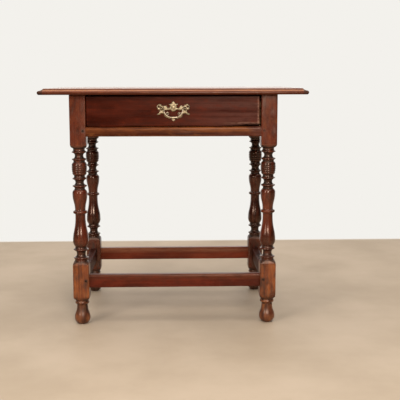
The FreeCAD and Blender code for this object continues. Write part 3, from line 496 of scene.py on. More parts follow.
finish_tree(billet, given, closed_skin(billet, skin, place))

# The rear tones are darker than the front ones down the whole leg: painted shade, as the rear legs stand
# back under the top.
leg_tones = {
    "front": ("2c0f06", "5a2110", "6c311b", "92562f", "080301"),
    "rear": ("240c05", "481a0c", "5a2815", "6c4028", "080301"),
}
upper_block = ("Z", 0.5455, 0.5535, "5e2817", 0.0)
leg_zones = {
    "front": (
        ("Z", 0.423, 0.431, "20100a", 0.0), ("Z", 0.249, 0.241, "34180f", 0.0), upper_block,
        ("Z", 0.200, 0.192, "8a461c", 0.5), ("Z", 0.082, 0.070, "6c3f27", 0.6),
    ),
    # Darker rear zones, rings, blocks and foot: painted shade under the top.
    "rear": (
        ("Z", 0.423, 0.431, "1c0c07", 0.0), ("Z", 0.249, 0.241, "2c140d", 0.0), upper_block,
        ("Z", 0.200, 0.192, "5c2617", 0.5), ("Z", 0.082, 0.070, "54301f", 0.5),
    ),
}
leg_wood = {}
for row, tones in leg_tones.items():
    leg_wood[row] = aged_wood(
        "leg_wood_" + row, "Z", tones, polish=0.18, gloss=0.7, mottle=0.6, zones=leg_zones[row], seed=3.3,
    )
legs = {}
for leg, leg_seed in LEGS.items():
    low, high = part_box(leg)
    axis = (low + high) / 2
    legs[leg] = made(leg + "_turned", point_mesh(leg, turned_outline(leg)), billet, {
        "Axis": (axis.x, axis.y, 0.0), "Squareness": LEG_SQUARENESS, "Columns": LEG_COLUMNS,
        "Seed": leg_seed, "Material": leg_wood[leg.split("_")[1]], **LEG_AGE,
    })
    wear(legs[leg], leg_wear)
    settle(legs[leg], "table", "frame_wood", leg)

# Rails and stretchers: planed bars, tenoned into the blocks of the legs. The rail under the drawer
# is rubbed pale and uneven along its upper arris, and feet have rounded the front stretcher.
BAR_STEP = 0.004
STATION_STEP = 0.0035
END_ROUND = 0.0020
ARC_STEPS = 6
BAR_SINK = 0.008
PLAIN_ARRIS = 0.0016
OUTER_ARRIS = {"rail_front": 0.0070, "stretcher_front": 0.0060}
STRETCHER_ARRIS = 0.0040
STATION_CROWDING = 0.9
BAR_AGE = {"Swell": 0.0008, "Chipping": 0.0011, "Arris": 0.0022}
BAR_PITCH = {"X": (10.0, 40.0, 40.0), "Y": (40.0, 10.0, 40.0)}
SHOW_RAIL_AGE = {"Swell": 0.0016, "Chipping": 0.0032, "Pitch": (7.0, 30.0, 30.0)}
FIRST_BAR_SEED = 40.0


def rounded_section(wide, tall, outer_arris, arris):
    """A bar's section round its middle, its outer face at low X, its outer top arris the softest."""
    corners = [(-1, -1, arris), (1, -1, arris), (1, 1, arris), (-1, 1, outer_arris)]
    points = []
    for quarter, (over, up, radius) in enumerate(corners):
        middle = Vector((over * (wide / 2 - radius), up * (tall / 2 - radius), 0.0))
        for step in range(ARC_STEPS + 1):
            turn = math.pi * (1 + (quarter + step / ARC_STEPS) / 2)
            points.append(middle + Vector((math.cos(turn), math.sin(turn), 0.0)) * radius)
    return fill_gaps(points + points[:1], BAR_STEP)[:-1]


bar, given = new_tree("planed_bar", {
    "Start": "Vector", "End": "Vector", "Inward": "Vector", "Half Wide": "Float", "Half Tall": "Float",
    "End Round": "Float", "Stations": "Int", **FINISH,
})
points = point_count(bar, given["Geometry"])
rows = work(bar, "ADD", given["Stations"], 2.0)
skin, round_share, run_share = unrolled(bar, work(bar, "ADD", points, 1.0), rows)
column = work(bar, "ROUND", times(bar, round_share, points))
section = outline_at(bar, given["Geometry"], work(bar, "MODULO", column, points))
last = work(bar, "ADD", given["Stations"], 1.0)
row = work(bar, "ROUND", times(bar, run_share, last))
# Stations crowd towards the ends, where the section draws in round a small radius
along = work(bar, "DIVIDE", less(bar, row, 1.0), less(bar, last, 2.0))
along = work(bar, "MINIMUM", work(bar, "MAXIMUM", along, 0.0), 1.0)
sway = work(bar, "SINE", times(bar, along, math.tau))
along = scaled(bar, sway, -STATION_CROWDING / math.tau, along)
length = work_ways(bar, "DISTANCE", given["End"], given["Start"])
from_end = times(bar, work(bar, "MINIMUM", along, less(bar, 1.0, along)), length)
short = work(bar, "MAXIMUM", less(bar, given["End Round"], from_end), 0.0)
drawn = less(bar, work(bar, "POWER", given["End Round"], 2.0), work(bar, "POWER", short, 2.0))
drawn = less(bar, given["End Round"], work(bar, "SQRT", work(bar, "MAXIMUM", drawn, 0.0)))
# The first and the last row close the ends, so they lie on the axis
after_first = work(bar, "GREATER_THAN", row, 0.5)
before_last = work(bar, "LESS_THAN", row, less(bar, last, 0.5))
is_open = times(bar, after_first, before_last)
over, up = (
    times(bar, times(bar, part, is_open), less(bar, 1.0, work(bar, "DIVIDE", drawn, given[half])))
    for part, half in ((section[0], "Half Wide"), (section[1], "Half Tall"))
)
place = grown(bar, work_ways(bar, "SUBTRACT", given["End"], given["Start"]), along)
place = work_ways(bar, "ADD", given["Start"], place)
place = work_ways(bar, "ADD", place, grown(bar, given["Inward"], over))
place = work_ways(bar, "ADD", place, joined(bar, {2: up}))
finish_tree(bar, given, closed_skin(bar, skin, place))


def planed_bar(name, low, high, inward, arrises, finish):
    """A bar that fills a box, its outer side away from the inward way."""
    lengthwise = 1 if inward.x else 0
    start, end = (low + high) / 2, (low + high) / 2
    start[lengthwise], end[lengthwise] = low[lengthwise], high[lengthwise]
    size = high - low
    section = rounded_section(size[1 - lengthwise], size.z, *arrises)
    # Turning the way of the run with the inward way keeps the faces outward on all four sides
    if inward.cross(Vector((0, 0, 1))).dot(end - start) < 0:
        start, end = end, start
    values = {
        "Start": start, "End": end, "Inward": inward, "Half Wide": size[1 - lengthwise] / 2,
        "Half Tall": size.z / 2, "End Round": END_ROUND,
        "Stations": round(size[lengthwise] / STATION_STEP), **finish,
    }
    return made(name, point_mesh(name, section), bar, values)


show_rail_wood = aged_wood(
    "show_rail_wood", "X", ("300f07", "4a1c0a", "7c4822", "b87a46", "0c0402"), gloss=0.2, mottle=0.45,
    zones=(("Z", 0.584, 0.604, "7e441e", 0.5), ("X", 0.215, 0.250, "55322a", 0.2)), seed=4.0,
)
rail_tones = ("3a150a", "5a2612", "71381f", "8c5531", "0d0502")
rail_wood = {
    "front": show_rail_wood, "back": aged_wood("rail_wood_back", "X", rail_tones, polish=0.34, seed=5.0),
    "left": aged_wood("rail_wood_left", "Y", rail_tones, polish=0.30, seed=6.0),
    "right": aged_wood("rail_wood_right", "Y", rail_tones, polish=0.30, seed=6.5),
}
stretcher_tones = ("380e05", "56190b", "662513", "7c4f38", "0e0402")
# The lighter upper band of the front and back stretchers is wear from feet, and painted light from above on
# the top face and arris.
stretcher_wear_and_light_zones = (("Z", 0.134, 0.148, "5a3220", 0.3),)
back_tones = ("441308", "662410", "78321b", "8a5b42", "0e0402")
back_wear_and_light_zones = (("Z", 0.134, 0.150, "84533a", 0.3),)
side_tones = ("2a0d06", "43170b", "52210f", "6a4029", "0c0402")
stretcher_wood = {
    "front": aged_wood(
        "stretcher_wood_front", "X", stretcher_tones, mottle=0.5, zones=stretcher_wear_and_light_zones, seed=7.0,
    ),
    "back": aged_wood("stretcher_wood_back", "X", back_tones, zones=back_wear_and_light_zones, seed=7.5),
}
for side in ("left", "right"):
    stretcher_wood[side] = aged_wood(
        "stretcher_wood_" + side, "Y", side_tones, polish=0.46, gloss=0.1, seed=8.0,
    )
SIDES = {
    "front": Vector((0, 1, 0)), "back": Vector((0, -1, 0)),
    "left": Vector((1, 0, 0)), "right": Vector((-1, 0, 0)),
}
near_leg, far_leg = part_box("leg_front_left")[1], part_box("leg_rear_right")[0]
for bar_seed, (side, inward) in enumerate(SIDES.items()):
    for kind, woods in (("rail", rail_wood), ("stretcher", stretcher_wood)):
        node = kind + "_" + side
        low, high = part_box(node)
        lengthwise = 1 if inward.x else 0
        low[lengthwise] = near_leg[lengthwise] - BAR_SINK
        high[lengthwise] = far_leg[lengthwise] + BAR_SINK
        usual = PLAIN_ARRIS if kind == "rail" else STRETCHER_ARRIS
        finish = {
            **BAR_AGE, "Pitch": BAR_PITCH["XY"[lengthwise]], "Seed": FIRST_BAR_SEED + bar_seed,
            "Material": woods[side],
        }
        if node == "rail_front":
            finish.update(SHOW_RAIL_AGE)
        arrises = (OUTER_ARRIS.get(node, usual), PLAIN_ARRIS)
        piece = planed_bar(node + "_planed", low, high, inward, arrises, finish)
        settle(piece, "table", "frame_wood", node)

# Top: two wide planks edge to edge, a hollow and a round nose run along their outer edges with
# moulding planes, held down on the frame by pegs. Wax and hands have rubbed the arrises; on the edge
# a pale band is a painted highlight, the nose below it has painted shade and the upper hollow is darker.
NOSE_HEIGHT = 0.0116
NOSE_INSET = 0.0042
MOULDING_WIDTH = 0.0160
QUIRK = 0.0010
HOLLOW = 0.0012
NOSE_STEPS = 7
HOLLOW_STEPS = 9
PLANK_STEP = 0.007
PLANK_SWELL = 0.0005
PLANK_AGE = {"Swell": PLANK_SWELL, "Chipping": 0.0009, "Arris": 0.0020, "Pitch": (9.0, 30.0, 30.0)}
PLANK_SEED = 60.0
PLANK_WOOD_SEED = 9.0
SEAM_ROUND = 0.0016
SEAM_FALL = 0.0008
SEAM_SHARES = (1.0, 0.6, 0.3, 0.1, 0.0)
END_GRAIN_DARK = 0.75
END_GRAIN_RUBBED = 0.4
nose_radius = (NOSE_HEIGHT**2 / 4 + NOSE_INSET**2) / (2 * NOSE_INSET)


def edge_insets():
    """How far in from the tip of the nose the lines of the moulding run."""
    widest = math.asin(NOSE_HEIGHT / 2 / nose_radius)
    nose = [nose_radius * (1 - math.cos(widest * step / NOSE_STEPS)) for step in range(NOSE_STEPS + 1)]
    run = MOULDING_WIDTH - NOSE_INSET
    hollow = [NOSE_INSET + run * (step + 1) / HOLLOW_STEPS for step in range(HOLLOW_STEPS)]
    quirk = MOULDING_WIDTH + QUIRK / 10
    return nose + hollow + [quirk, quirk + QUIRK]


def worked_heights(inset, thick):
    """The upper and lower height of the worked edge at an inset."""
    half = np.sqrt(np.maximum(nose_radius**2 - np.maximum(nose_radius - inset, 0) ** 2, 0))
    rise = np.clip((inset - NOSE_INSET) / (MOULDING_WIDTH - NOSE_INSET), 0, 1)
    slope = NOSE_HEIGHT + rise * (thick - QUIRK - NOSE_HEIGHT) - HOLLOW * 4 * rise * (1 - rise)
    upper = np.where(inset <= NOSE_INSET, NOSE_HEIGHT / 2 + half, slope)
    upper = np.where(inset > MOULDING_WIDTH + QUIRK / 20, thick, upper)
    lower = np.where(inset < NOSE_INSET, NOSE_HEIGHT / 2 - half, 0.0)
    return upper, lower


def spaced(start, end, step):
    """Places about a step apart between two ends, without the ends."""
    return list(np.linspace(start, end, max(2, round(abs(end - start) / step)))[1:-1])


def merged(mesh):
    """A working copy of a mesh, with the points that lie together made one."""
    shape = bmesh.new()
    shape.from_mesh(mesh)
    bmesh.ops.remove_doubles(shape, verts=shape.verts, dist=MERGE_WITHIN)
    return shape


def moulded_plank(name, low, high, outward):
    """A plank worked on its two ends and on the edge that its outward sign names."""
    thick = high.z - low.z - PLANK_SWELL / 2
    low, high = low + Vector((1, 1, 0)) * PLANK_SWELL, high - Vector((1, 1, 0)) * PLANK_SWELL
    low.y, high.y = (low.y, high.y + PLANK_SWELL) if outward < 0 else (low.y - PLANK_SWELL, high.y)
    insets = edge_insets()
    across = [low.x + one for one in insets] + spaced(low.x + insets[-1], high.x - insets[-1], PLANK_STEP)
    across += [high.x - one for one in reversed(insets)]
    tip, seam = (low.y, high.y) if outward < 0 else (high.y, low.y)
    deep = [tip - one * outward for one in insets]
    deep += spaced(deep[-1], seam + SEAM_ROUND * outward, PLANK_STEP)
    deep += [seam + SEAM_ROUND * share * outward for share in SEAM_SHARES]
    xs, ys = np.meshgrid(across, deep, indexing="ij")
    end_upper, end_lower = worked_heights(np.minimum(xs - low.x, high.x - xs), thick)
    edge_upper, edge_lower = worked_heights(np.abs(ys - tip), thick)
    from_seam = np.clip(1 - np.abs(ys - seam) / SEAM_ROUND, 0, 1)
    softened = SEAM_FALL * (1 - np.sqrt(1 - from_seam**2))
    upper = low.z + np.minimum(end_upper, edge_upper) - softened
    upper = np.maximum(upper, low.z + NOSE_HEIGHT / 2)
    lower = low.z + np.maximum(end_lower, edge_lower)
    points = [np.stack([xs, ys, level], axis=-1).reshape(-1, 3) for level in (upper, lower)]
    rows, columns = xs.shape
    number = np.arange(rows * columns).reshape(rows, columns)
    faces = []
    for at in range(rows - 1):
        for to in range(columns - 1):
            ring = [number[at, to], number[at + 1, to], number[at + 1, to + 1], number[at, to + 1]]
            below = [one + rows * columns for one in ring]
            faces += [ring, below[::-1]] if outward < 0 else [ring[::-1], below]
        seam_face = [number[at, -1], number[at + 1, -1]]
        seam_face += [seam_face[1] + rows * columns, seam_face[0] + rows * columns]
        faces.append(seam_face if outward < 0 else seam_face[::-1])
    mesh = point_mesh(name, np.concatenate(points), faces)
    shape = merged(mesh)
    bmesh.ops.recalc_face_normals(shape, faces=shape.faces)
    shape.to_mesh(mesh)
    shape.free()
    return mesh


def end_grain(vertex, foul, rubbed, low, high):
    """Dark and little rubbed where the moulding crosses the ends of a plank."""
    if min(vertex.co.x - low.x, high.x - vertex.co.x) < MOULDING_WIDTH:
        return max(foul, END_GRAIN_DARK), rubbed * END_GRAIN_RUBBED
    return foul, rubbed


surface, given = new_tree("worked_surface", FINISH)
finish_tree(surface, given, given["Geometry"])
top_tones = ("421608", "602a14", "80462a", "b07450", "0e0502")
# Painted light on the moulded edge: shade on the lower half of the nose, a highlight along the band above
# it, then darker on the upper hollow; the last zone is the flat top's own tone.
top_tone_and_light_zones = (
    ("Z", 0.7158, 0.7110, "34120a", 0.0), ("Z", 0.7156, 0.7172, "a4683e", 0.0),
    ("Z", 0.7186, 0.7198, "481f0b", 0.0), ("Z", 0.7226, 0.7236, "78442a", 0.0),
)
for node, outward in (("top_board_front", -1), ("top_board_back", 1)):
    low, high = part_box(node)
    plank_wood = aged_wood(
        node + "_wood", "X", top_tones, ring=0.0042, gloss=0.3, zones=top_tone_and_light_zones,
        seed=PLANK_WOOD_SEED + outward,
    )
    piece = made(node + "_worked", moulded_plank(node, low, high, outward), surface, {
        **PLANK_AGE, "Seed": PLANK_SEED + outward, "Material": plank_wood,
    })
    wear(piece, end_grain, low, high)
    settle(piece, "table", "top_wood", node)

# Pegs: riven from straight oak with a froe and driven dry through the joints and down through the
# top. Their ends are many-sided, a little uneven and black with wax.
PEG_SIDES = 9
PEG_ROWS = {"Side Segments": 8, "Fill Segments": 3}
PEG_TAPER = 0.9
PEG_TURN_SEED = 4
PEG_AGE = {
    "Swell": 0.0005, "Chipping": 0.0004, "Arris": 0.0015, "Pitch": (300.0, 300.0, 300.0), "Seed": 70.0,
}
# Round each peg head the leg is darkened: dirt, and painted shadow of the peg.
PEG_DIRT_AND_SHADOW_REACH = {"rail_pegs": 0.0075, "stretcher_pegs": 0.0095}
PEG_DIRT_AND_SHADOW_LEFT = 0.75
PEG_DIRT_AND_SHADOW_RIGHT = {"rail_pegs": 0.25, "stretcher_pegs": 0.90}
PEG_PROUD = {"rail_pegs": 0.0011, "stretcher_pegs": 0.0011, "top_pegs": 0.0005}


def islands(node):
    """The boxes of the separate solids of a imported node."""
    shape = merged(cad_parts[node].data)
    waiting = set(shape.verts)
    while waiting:
        edge = [waiting.pop()]
        found = []
        while edge:
            vertex = edge.pop()
            found.append(vertex.co.copy())
            near = {link.other_vert(vertex) for link in vertex.link_edges} & waiting
            waiting -= near
            edge += near
        yield [Vector(map(pick, zip(*found))) for pick in (min, max)]
    shape.free()


def peg_places(node):
    """Where each peg's head is, how far it goes in, and its way in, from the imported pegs."""
    heads, ways = [], []
    for low, high in sorted(islands(node), key=lambda box: tuple(box[0])):
        size = high - low
        lengthwise = max(range(3), key=lambda axis: size[axis])
        head = (low + high) / 2
        outward = 1 if lengthwise == 2 or head[lengthwise] > 0 else -1
        head[lengthwise] = (high if outward > 0 else low)[lengthwise] + PEG_PROUD[node] * outward
        way = Vector((0, 0, 0))
        way[lengthwise] = -outward
        heads.append(head)
        ways.append(way)
        length, radius = size[lengthwise], min(size) / 2
    return heads, ways, length, radius


riven, given = new_tree("riven_pegs", {"Radius": "Float", "Length": "Float", **FINISH})
length = given["Length"]
peg = put(riven, "GeometryNodeMeshCone", {
    "Vertices": PEG_SIDES, **PEG_ROWS, "Radius Top": given["Radius"],
    "Radius Bottom": times(riven, given["Radius"], PEG_TAPER), "Depth": length,
}).outputs["Mesh"]
drop = joined(riven, {2: times(riven, length, -1.0)})
peg = put(riven, "GeometryNodeSetPosition", {"Geometry": peg, "Offset": drop}).outputs[0]
way = put(riven, "GeometryNodeInputNamedAttribute", {"Name": "way"}, data_type="FLOAT_VECTOR").outputs[0]
heading = put(riven, "FunctionNodeAlignRotationToVector", {"Vector": grown(riven, way, -1.0)}, axis="Z")
pegs = put(riven, "GeometryNodeInstanceOnPoints", {
    "Points": given["Geometry"], "Instance": peg, "Rotation": heading.outputs[0],
}).outputs[0]
turns = {2: 0.0, 3: math.tau, "Seed": PEG_TURN_SEED}
twist = put(riven, "FunctionNodeRandomValue", turns, data_type="FLOAT").outputs[1]
twist = joined(riven, {2: twist})
pegs = put(riven, "GeometryNodeRotateInstances", {"Instances": pegs, "Rotation": twist}).outputs[0]
pegs = put(riven, "GeometryNodeRealizeInstances", {"Geometry": pegs}).outputs[0]
finish_tree(riven, given, pegs)


def with_ways(mesh, ways):
    """The points of a mesh, each told the way that its peg goes in."""
    told = mesh.attributes.new("way", "FLOAT_VECTOR", "POINT")
    for one, way in zip(told.data, ways):
        one.vector = way
    return mesh


peg_tones = ("120906", "1d0f0a", "2a1710", "3a2116", "090403")
peg_wood = aged_wood("peg_wood", "Z", peg_tones, polish=0.5, seed=12.0)
clean_zones = (("X", 0.10, 0.16, "4a2114", 0.0),)
clean_pegs = aged_wood("peg_wood_clean", "Z", peg_tones, polish=0.5, zones=clean_zones, seed=12.0)
for node in PEG_PROUD:
    heads, ways, length, radius = peg_places(node)
    for leg in legs.values() if node != "top_pegs" else ():
        places = np.array([vertex.co for vertex in leg.data.vertices])
        nearest = np.min([np.linalg.norm(places - np.array(head), axis=1) for head in heads], axis=0)
        # Darken the legs round each peg head: dirt and painted shadow.
        peg_dirt_and_shadow = np.clip((PEG_DIRT_AND_SHADOW_REACH[node] - nearest) / (PEG_DIRT_AND_SHADOW_REACH[node] - radius), 0, 1)
        peg_dirt_and_shadow *= np.where(places[:, 0] < 0, PEG_DIRT_AND_SHADOW_LEFT, PEG_DIRT_AND_SHADOW_RIGHT[node])
        for one, extra in zip(leg.data.attributes["grime"].data, peg_dirt_and_shadow):
            one.value = max(one.value, extra)
    piece = made(node + "_riven", with_ways(point_mesh(node, heads), ways), riven, {
        "Radius": radius, "Length": length, **PEG_AGE,
        "Material": clean_pegs if node == "rail_pegs" else peg_wood,
    })
    settle(piece, "table", "peg_wood", node)

# Drawer carriage: runners, guides and stops of plain sawn softwood, nailed inside the side rails
# with hand-forged nails. Nobody ever polished them, so they are dry, pale and dusty.
BARE_TONES = ("6a4930", "94704c", "b48f68", "bd9f7a", "2a1c11")
IRON_TONES = ("231d1a", "4a2f20", "6a3d22")
IRON_RELIEF = {"Strength": 0.5, "Distance": 0.0004}


def bare_wood(name, along, seed):
    """Dry unpolished board: pale and dull, with open rings and fibres."""
    return aged_wood(
        name, along, BARE_TONES, ring=0.0046, grain=0.5, polish=0.70, gloss=0.15, mottle=0.2, seed=seed,
    )


def dress(node, material):
    """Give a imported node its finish."""
    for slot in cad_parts[node].material_slots:
        slot.material = material


bare_deep = bare_wood("bare_wood_deep", "Y", 15.0)
bare_wide = bare_wood("bare_wood_wide", "X", 16.0)
for node in ("runner_left", "runner_right", "guide_left", "guide_right", "drawer_stops"):
    dress(node, bare_deep)


def forged_iron(name):
    """Hammered iron gone brown-black, with rust in the low places."""
    material, tree, spot = new_material(name)
    scale = speckle(tree, spot, (900.0, 900.0, 900.0), 1.0, 4.0).outputs[0]
    patch = speckle(tree, spot, (260.0, 260.0, 260.0), 2.0, 3.0).outputs[0]
    skin, brown, rust = (tone(one) for one in IRON_TONES)
    colour = blend(tree, ease(tree, patch, 0.42, 0.62), skin, brown)
    colour = blend(tree, ease(tree, scale, 0.55, 0.75, 0.0, 0.5), colour, rust)
    coat(tree, {**IRON_RELIEF, "Height": scale}, {
        "Base Color": colour, "Metallic": 0.7, "Roughness": ease(tree, patch, 0.3, 0.7, 0.42, 0.75),
    })
    return material


iron = forged_iron("forged_iron")
for node in ("runner_nails", "drawer_bottom_nails", "handle_nuts"):
    dress(node, iron)

# Drawer: a dark show-wood front with a rounded arris, lapped over the dovetails of plain sides,
# and a back and a bottom of two boards in grooves, nailed up under the back.
FRONT_SHORT = (0.0002, 0.0014)
FRONT_END_ROUND = 0.0036
# The dark top edge is painted shade of the gap under the top, easing off towards the back, and the rubbed
# foot is darkened with dirt and painted shade.
FRONT_TOP_SHADE = 0.0045
TOP_SHADE_FALLOFF = 0.5
FRONT_RUBBED = 0.0075
RUBBED_WAVES = 13.0
RUBBED_HEIGHT = 0.012
RUBBED_DEPTH = 0.014
RUBBED_SEED = 3.0
RUBBED_LEFT = 0.3
RUBBED_DIRT_AND_SHADE = 2.0
CORNER_RUBBED = (0.78, 0.93, 0.62)
# A pale line in from the right end and one above the rubbed foot: worn wood with a painted highlight.
RIM_WEAR_AND_HIGHLIGHT = (0.0048, 0.0022)
FOOT_WEAR_AND_HIGHLIGHT = (0.0095, 0.0040, 0.7)
PALE_LEFT = 0.15
FRONT_ARRISES = (0.0030, 0.0022)
FRONT_AGE = {
    "Swell": 0.0006, "Chipping": 0.0010, "Arris": 0.0022, "Pitch": (9.0, 40.0, 40.0), "Seed": 83.0,
}


def front_wear(vertex, foul, rubbed, low, high):
    """The lower edge rubbed away, most at the right, and darkened there with dirt and painted shade in the
    gap; a pale rim there and a pale line above the rubbed foot, wear with a painted highlight; and a top
    edge darkened with painted shade.
    """
    share = (vertex.co.x - low.x) / (high.x - low.x)
    wave = 0.5 + 0.5 * noise.noise(Vector((vertex.co.x * RUBBED_WAVES, RUBBED_SEED, 0.0)))
    corner = np.interp(share, CORNER_RUBBED[:2], (0.0, 1.0))
    near = max(0.0, 1.0 - (vertex.co.z - low.z) / RUBBED_HEIGHT)
    near *= max(0.0, 1.0 - (vertex.co.y - low.y) / RUBBED_DEPTH)
    along = RUBBED_LEFT + (1.0 - RUBBED_LEFT) * share
    gone = max(wave**2 * along, CORNER_RUBBED[2] * corner) * near
    # Painted shade along the top edge, as the shadow of the top in the gap, less towards the back.
    top_shade = min(1.0, max(0.0, (vertex.co.z - high.z) / FRONT_TOP_SHADE + 1.0))
    top_shade *= 1.0 - TOP_SHADE_FALLOFF * min(1.0, (vertex.co.y - low.y) / FRONT_TOP_SHADE)
    vertex.co.z += FRONT_RUBBED * gone
    # Painted highlight on worn wood: a pale line in from the right end, and one above the rubbed foot at
    # the right corner.
    rim = max(0.0, 1.0 - abs(high.x - vertex.co.x - RIM_WEAR_AND_HIGHLIGHT[0]) / RIM_WEAR_AND_HIGHLIGHT[1])
    foot = max(0.0, 1.0 - abs(vertex.co.z - low.z - FOOT_WEAR_AND_HIGHLIGHT[0]) / FOOT_WEAR_AND_HIGHLIGHT[1]) * corner
    edge = rubbed * (PALE_LEFT + (1.0 - PALE_LEFT) * share**3)
    rubbed = max(edge, rim, FOOT_WEAR_AND_HIGHLIGHT[2] * foot) * (1.0 - top_shade)
    # Where the foot is rubbed away it is darkened: dirt and painted shade in the gap.
    return max(foul, min(1.0, RUBBED_DIRT_AND_SHADE * gone), top_shade), rubbed


front_tones = ("280702", "451204", "601d09", "a47c68", "0a0301")
# The zone greys the front from its middle to the right end: painted sheen.
front_wood = aged_wood(
    "drawer_front_wood", "X", front_tones, ring=0.0044, polish=0.24, gloss=0.14, mottle=0.4,
    zones=(("X", -0.05, 0.26, "543028", 0.0),), seed=21.0,
)
low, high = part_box("drawer_front")
low.x += FRONT_SHORT[0]
high.x -= FRONT_SHORT[1]
piece = planed_bar("drawer_front_planed", low, high, Vector((0, 1, 0)), FRONT_ARRISES, {
    **FRONT_AGE, "End Round": FRONT_END_ROUND, "Material": front_wood,
})
wear(piece, front_wear, low, high)
settle(piece, "drawer", "drawer_front_wood", "drawer_front")
for node in ("drawer_side_left", "drawer_side_right"):
    dress(node, bare_deep)
for node in ("drawer_back", "drawer_bottom_front", "drawer_bottom_back"):
    dress(node, bare_wide)

# Handle plate: cast in brass from a carved pattern, filed and pierced, with a domed cartouche and
# scrolls round the two posts. Polish has rubbed the high places and left brown in the low ones.
PLATE_VOXEL = 0.00035
PLATE_RELIEF = 0.0013
PLATE_SLOPE = 0.0030
PLATE_RIM = 0.0014
CHASED_AT = 0.0017
CHASED_WIDE = 0.00035
CHASED_DEEP = 0.00035
BOSS_RADIUS = 0.0058
BOSS_HEIGHT = 0.0016
BOSS_ABOVE = 0.0035
POST_FLAT = (0.0050, 0.0062)
BAIL_ROOM = (-0.0250, -0.0130, 0.15)
SCROLL_MIDDLE = (0.0170, -0.0152)
SCROLL_REACH = (0.0052, 0.0011)
SCROLL_THICK = (0.0014, 0.0009)
SCROLL_START = math.radians(-50)
SCROLL_TURNS = 1.35
SCROLL_BEADS = 48
PLATE_AGE = {
    "Swell": 0.00015, "Chipping": 0.0001, "Arris": 0.0006, "Pitch": (200.0, 200.0, 200.0), "Seed": 90.0,
}
BRASS_TONES = ("8c7a5e", "ac997c", "e2d0ba", "2c1d0e")
BRASS_RELIEF = {"Strength": 0.3, "Distance": 0.0003}
RIM_FOUL = 0.7


def old_brass(name):
    """Cast brass, yellow where it is rubbed and brown where polish never reaches."""
    material, tree, spot = new_material(name)
    cloud = speckle(tree, spot, (160.0, 160.0, 160.0), 1.0, 4.0).outputs[0]
    pits = speckle(tree, spot, (1500.0, 1500.0, 1500.0), 2.0, 3.0).outputs[0]
    dark, light, bright, brown = (tone(one) for one in BRASS_TONES)
    colour = blend(tree, ease(tree, cloud, 0.35, 0.65), dark, light)
    colour = blend(tree, mark(tree, "worn"), colour, bright)
    low_places = scaled(tree, mark(tree, "rim"), RIM_FOUL, mark(tree, "grime"))
    foul = ease(tree, work(tree, "ADD", low_places, ease(tree, pits, 0.62, 0.75, 0.0, 0.3)), 0.05, 0.8)
    colour = blend(tree, foul, colour, brown)
    dull = scaled(tree, foul, 0.35, ease(tree, cloud, 0.3, 0.7, 0.32, 0.44))
    coat(tree, {**BRASS_RELIEF, "Height": pits}, {"Base Color": colour, "Metallic": 1.0, "Roughness": dull})
    return material


def far_off(tree, over, up):
    """How far a place lies from a middle, by its two offsets."""
    squares = work(tree, "ADD", work(tree, "POWER", over, 2.0), work(tree, "POWER", up, 2.0))
    return work(tree, "SQRT", squares)


cast, given = new_tree("cast_plate", {
    "Outline": "Object", "Middle": "Vector", "Pivot Below": "Float", "Post Offset": "Float", **FINISH,
})
wall = put(cast, "GeometryNodeObjectInfo", {"Object": given["Outline"]}).outputs["Geometry"]
facing = split(cast, put(cast, "GeometryNodeInputNormal").outputs[0])
is_wall = work(cast, "LESS_THAN", work(cast, "ABSOLUTE", facing[1]), 0.5)
wall = put(cast, "GeometryNodeSeparateGeometry", {0: wall, "Selection": is_wall}, domain="FACE").outputs[0]
inset = put(cast, "GeometryNodeProximity", {0: wall}, target_element="FACES").outputs["Distance"]
spot = put(cast, "GeometryNodeInputPosition").outputs[0]
off = split(cast, work_ways(cast, "SUBTRACT", spot, given["Middle"]))
relief = ease(cast, inset, 0.0, PLATE_SLOPE, 0.0, PLATE_RELIEF)
from_line = work(cast, "ABSOLUTE", less(cast, inset, CHASED_AT))
relief = less(cast, relief, ease(cast, from_line, CHASED_WIDE, 0.0, 0.0, CHASED_DEEP))
out = work(cast, "DIVIDE", far_off(cast, off[0], off[2]), BOSS_RADIUS)
boss = less(cast, 1.0, work(cast, "POWER", out, 2.0))
boss = work(cast, "SQRT", work(cast, "MAXIMUM", boss, 0.0))
relief = scaled(cast, boss, BOSS_HEIGHT, relief)
beside = less(cast, work(cast, "ABSOLUTE", off[0]), given["Post Offset"])
from_post = far_off(cast, beside, off[2])
relief = times(cast, relief, ease(cast, from_post, *POST_FLAT))
fall = less(cast, off[2], given["Pivot Below"])
relief = times(cast, relief, ease(cast, fall, BAIL_ROOM[0], BAIL_ROOM[1], BAIL_ROOM[2], 1.0))
forward = ease(cast, facing[1], -0.2, -0.7)
rise = joined(cast, {1: times(cast, times(cast, relief, forward), -1.0)})
skin = keep_mark(cast, given["Geometry"], "rim", ease(cast, inset, PLATE_RIM, 0.0))
skin = put(cast, "GeometryNodeSetPosition", {"Geometry": skin, "Offset": rise}).outputs[0]
finish_tree(cast, given, skin)

brass = old_brass("old_brass")
plate_low, plate_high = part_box("handle_plate")
post_low, post_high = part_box("handle_post_right")
post = (post_low + post_high) / 2
handle_middle = Vector(((plate_low.x + plate_high.x) / 2, plate_low.y, post.z))
pattern = bpy.data.objects.new("plate_pattern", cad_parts["handle_plate"].data.copy())
shape = merged(pattern.data)
shape.to_mesh(pattern.data)
for side in (-1, 1):
    for bead in range(SCROLL_BEADS):
        along = bead / (SCROLL_BEADS - 1)
        turn = SCROLL_START + SCROLL_TURNS * math.tau * along
        out = SCROLL_REACH[0] + (SCROLL_REACH[1] - SCROLL_REACH[0]) * along
        thick = SCROLL_THICK[0] + (SCROLL_THICK[1] - SCROLL_THICK[0]) * along
        at_bead = Matrix.Translation((
            handle_middle.x + side * (SCROLL_MIDDLE[0] + out * math.cos(turn)), plate_low.y + thick / 4,
            handle_middle.z + SCROLL_MIDDLE[1] + out * math.sin(turn),
        ))
        bmesh.ops.create_icosphere(shape, subdivisions=2, radius=thick, matrix=at_bead)
scrolled = bpy.data.meshes.new("scrolled_plate")
shape.to_mesh(scrolled)
shape.free()
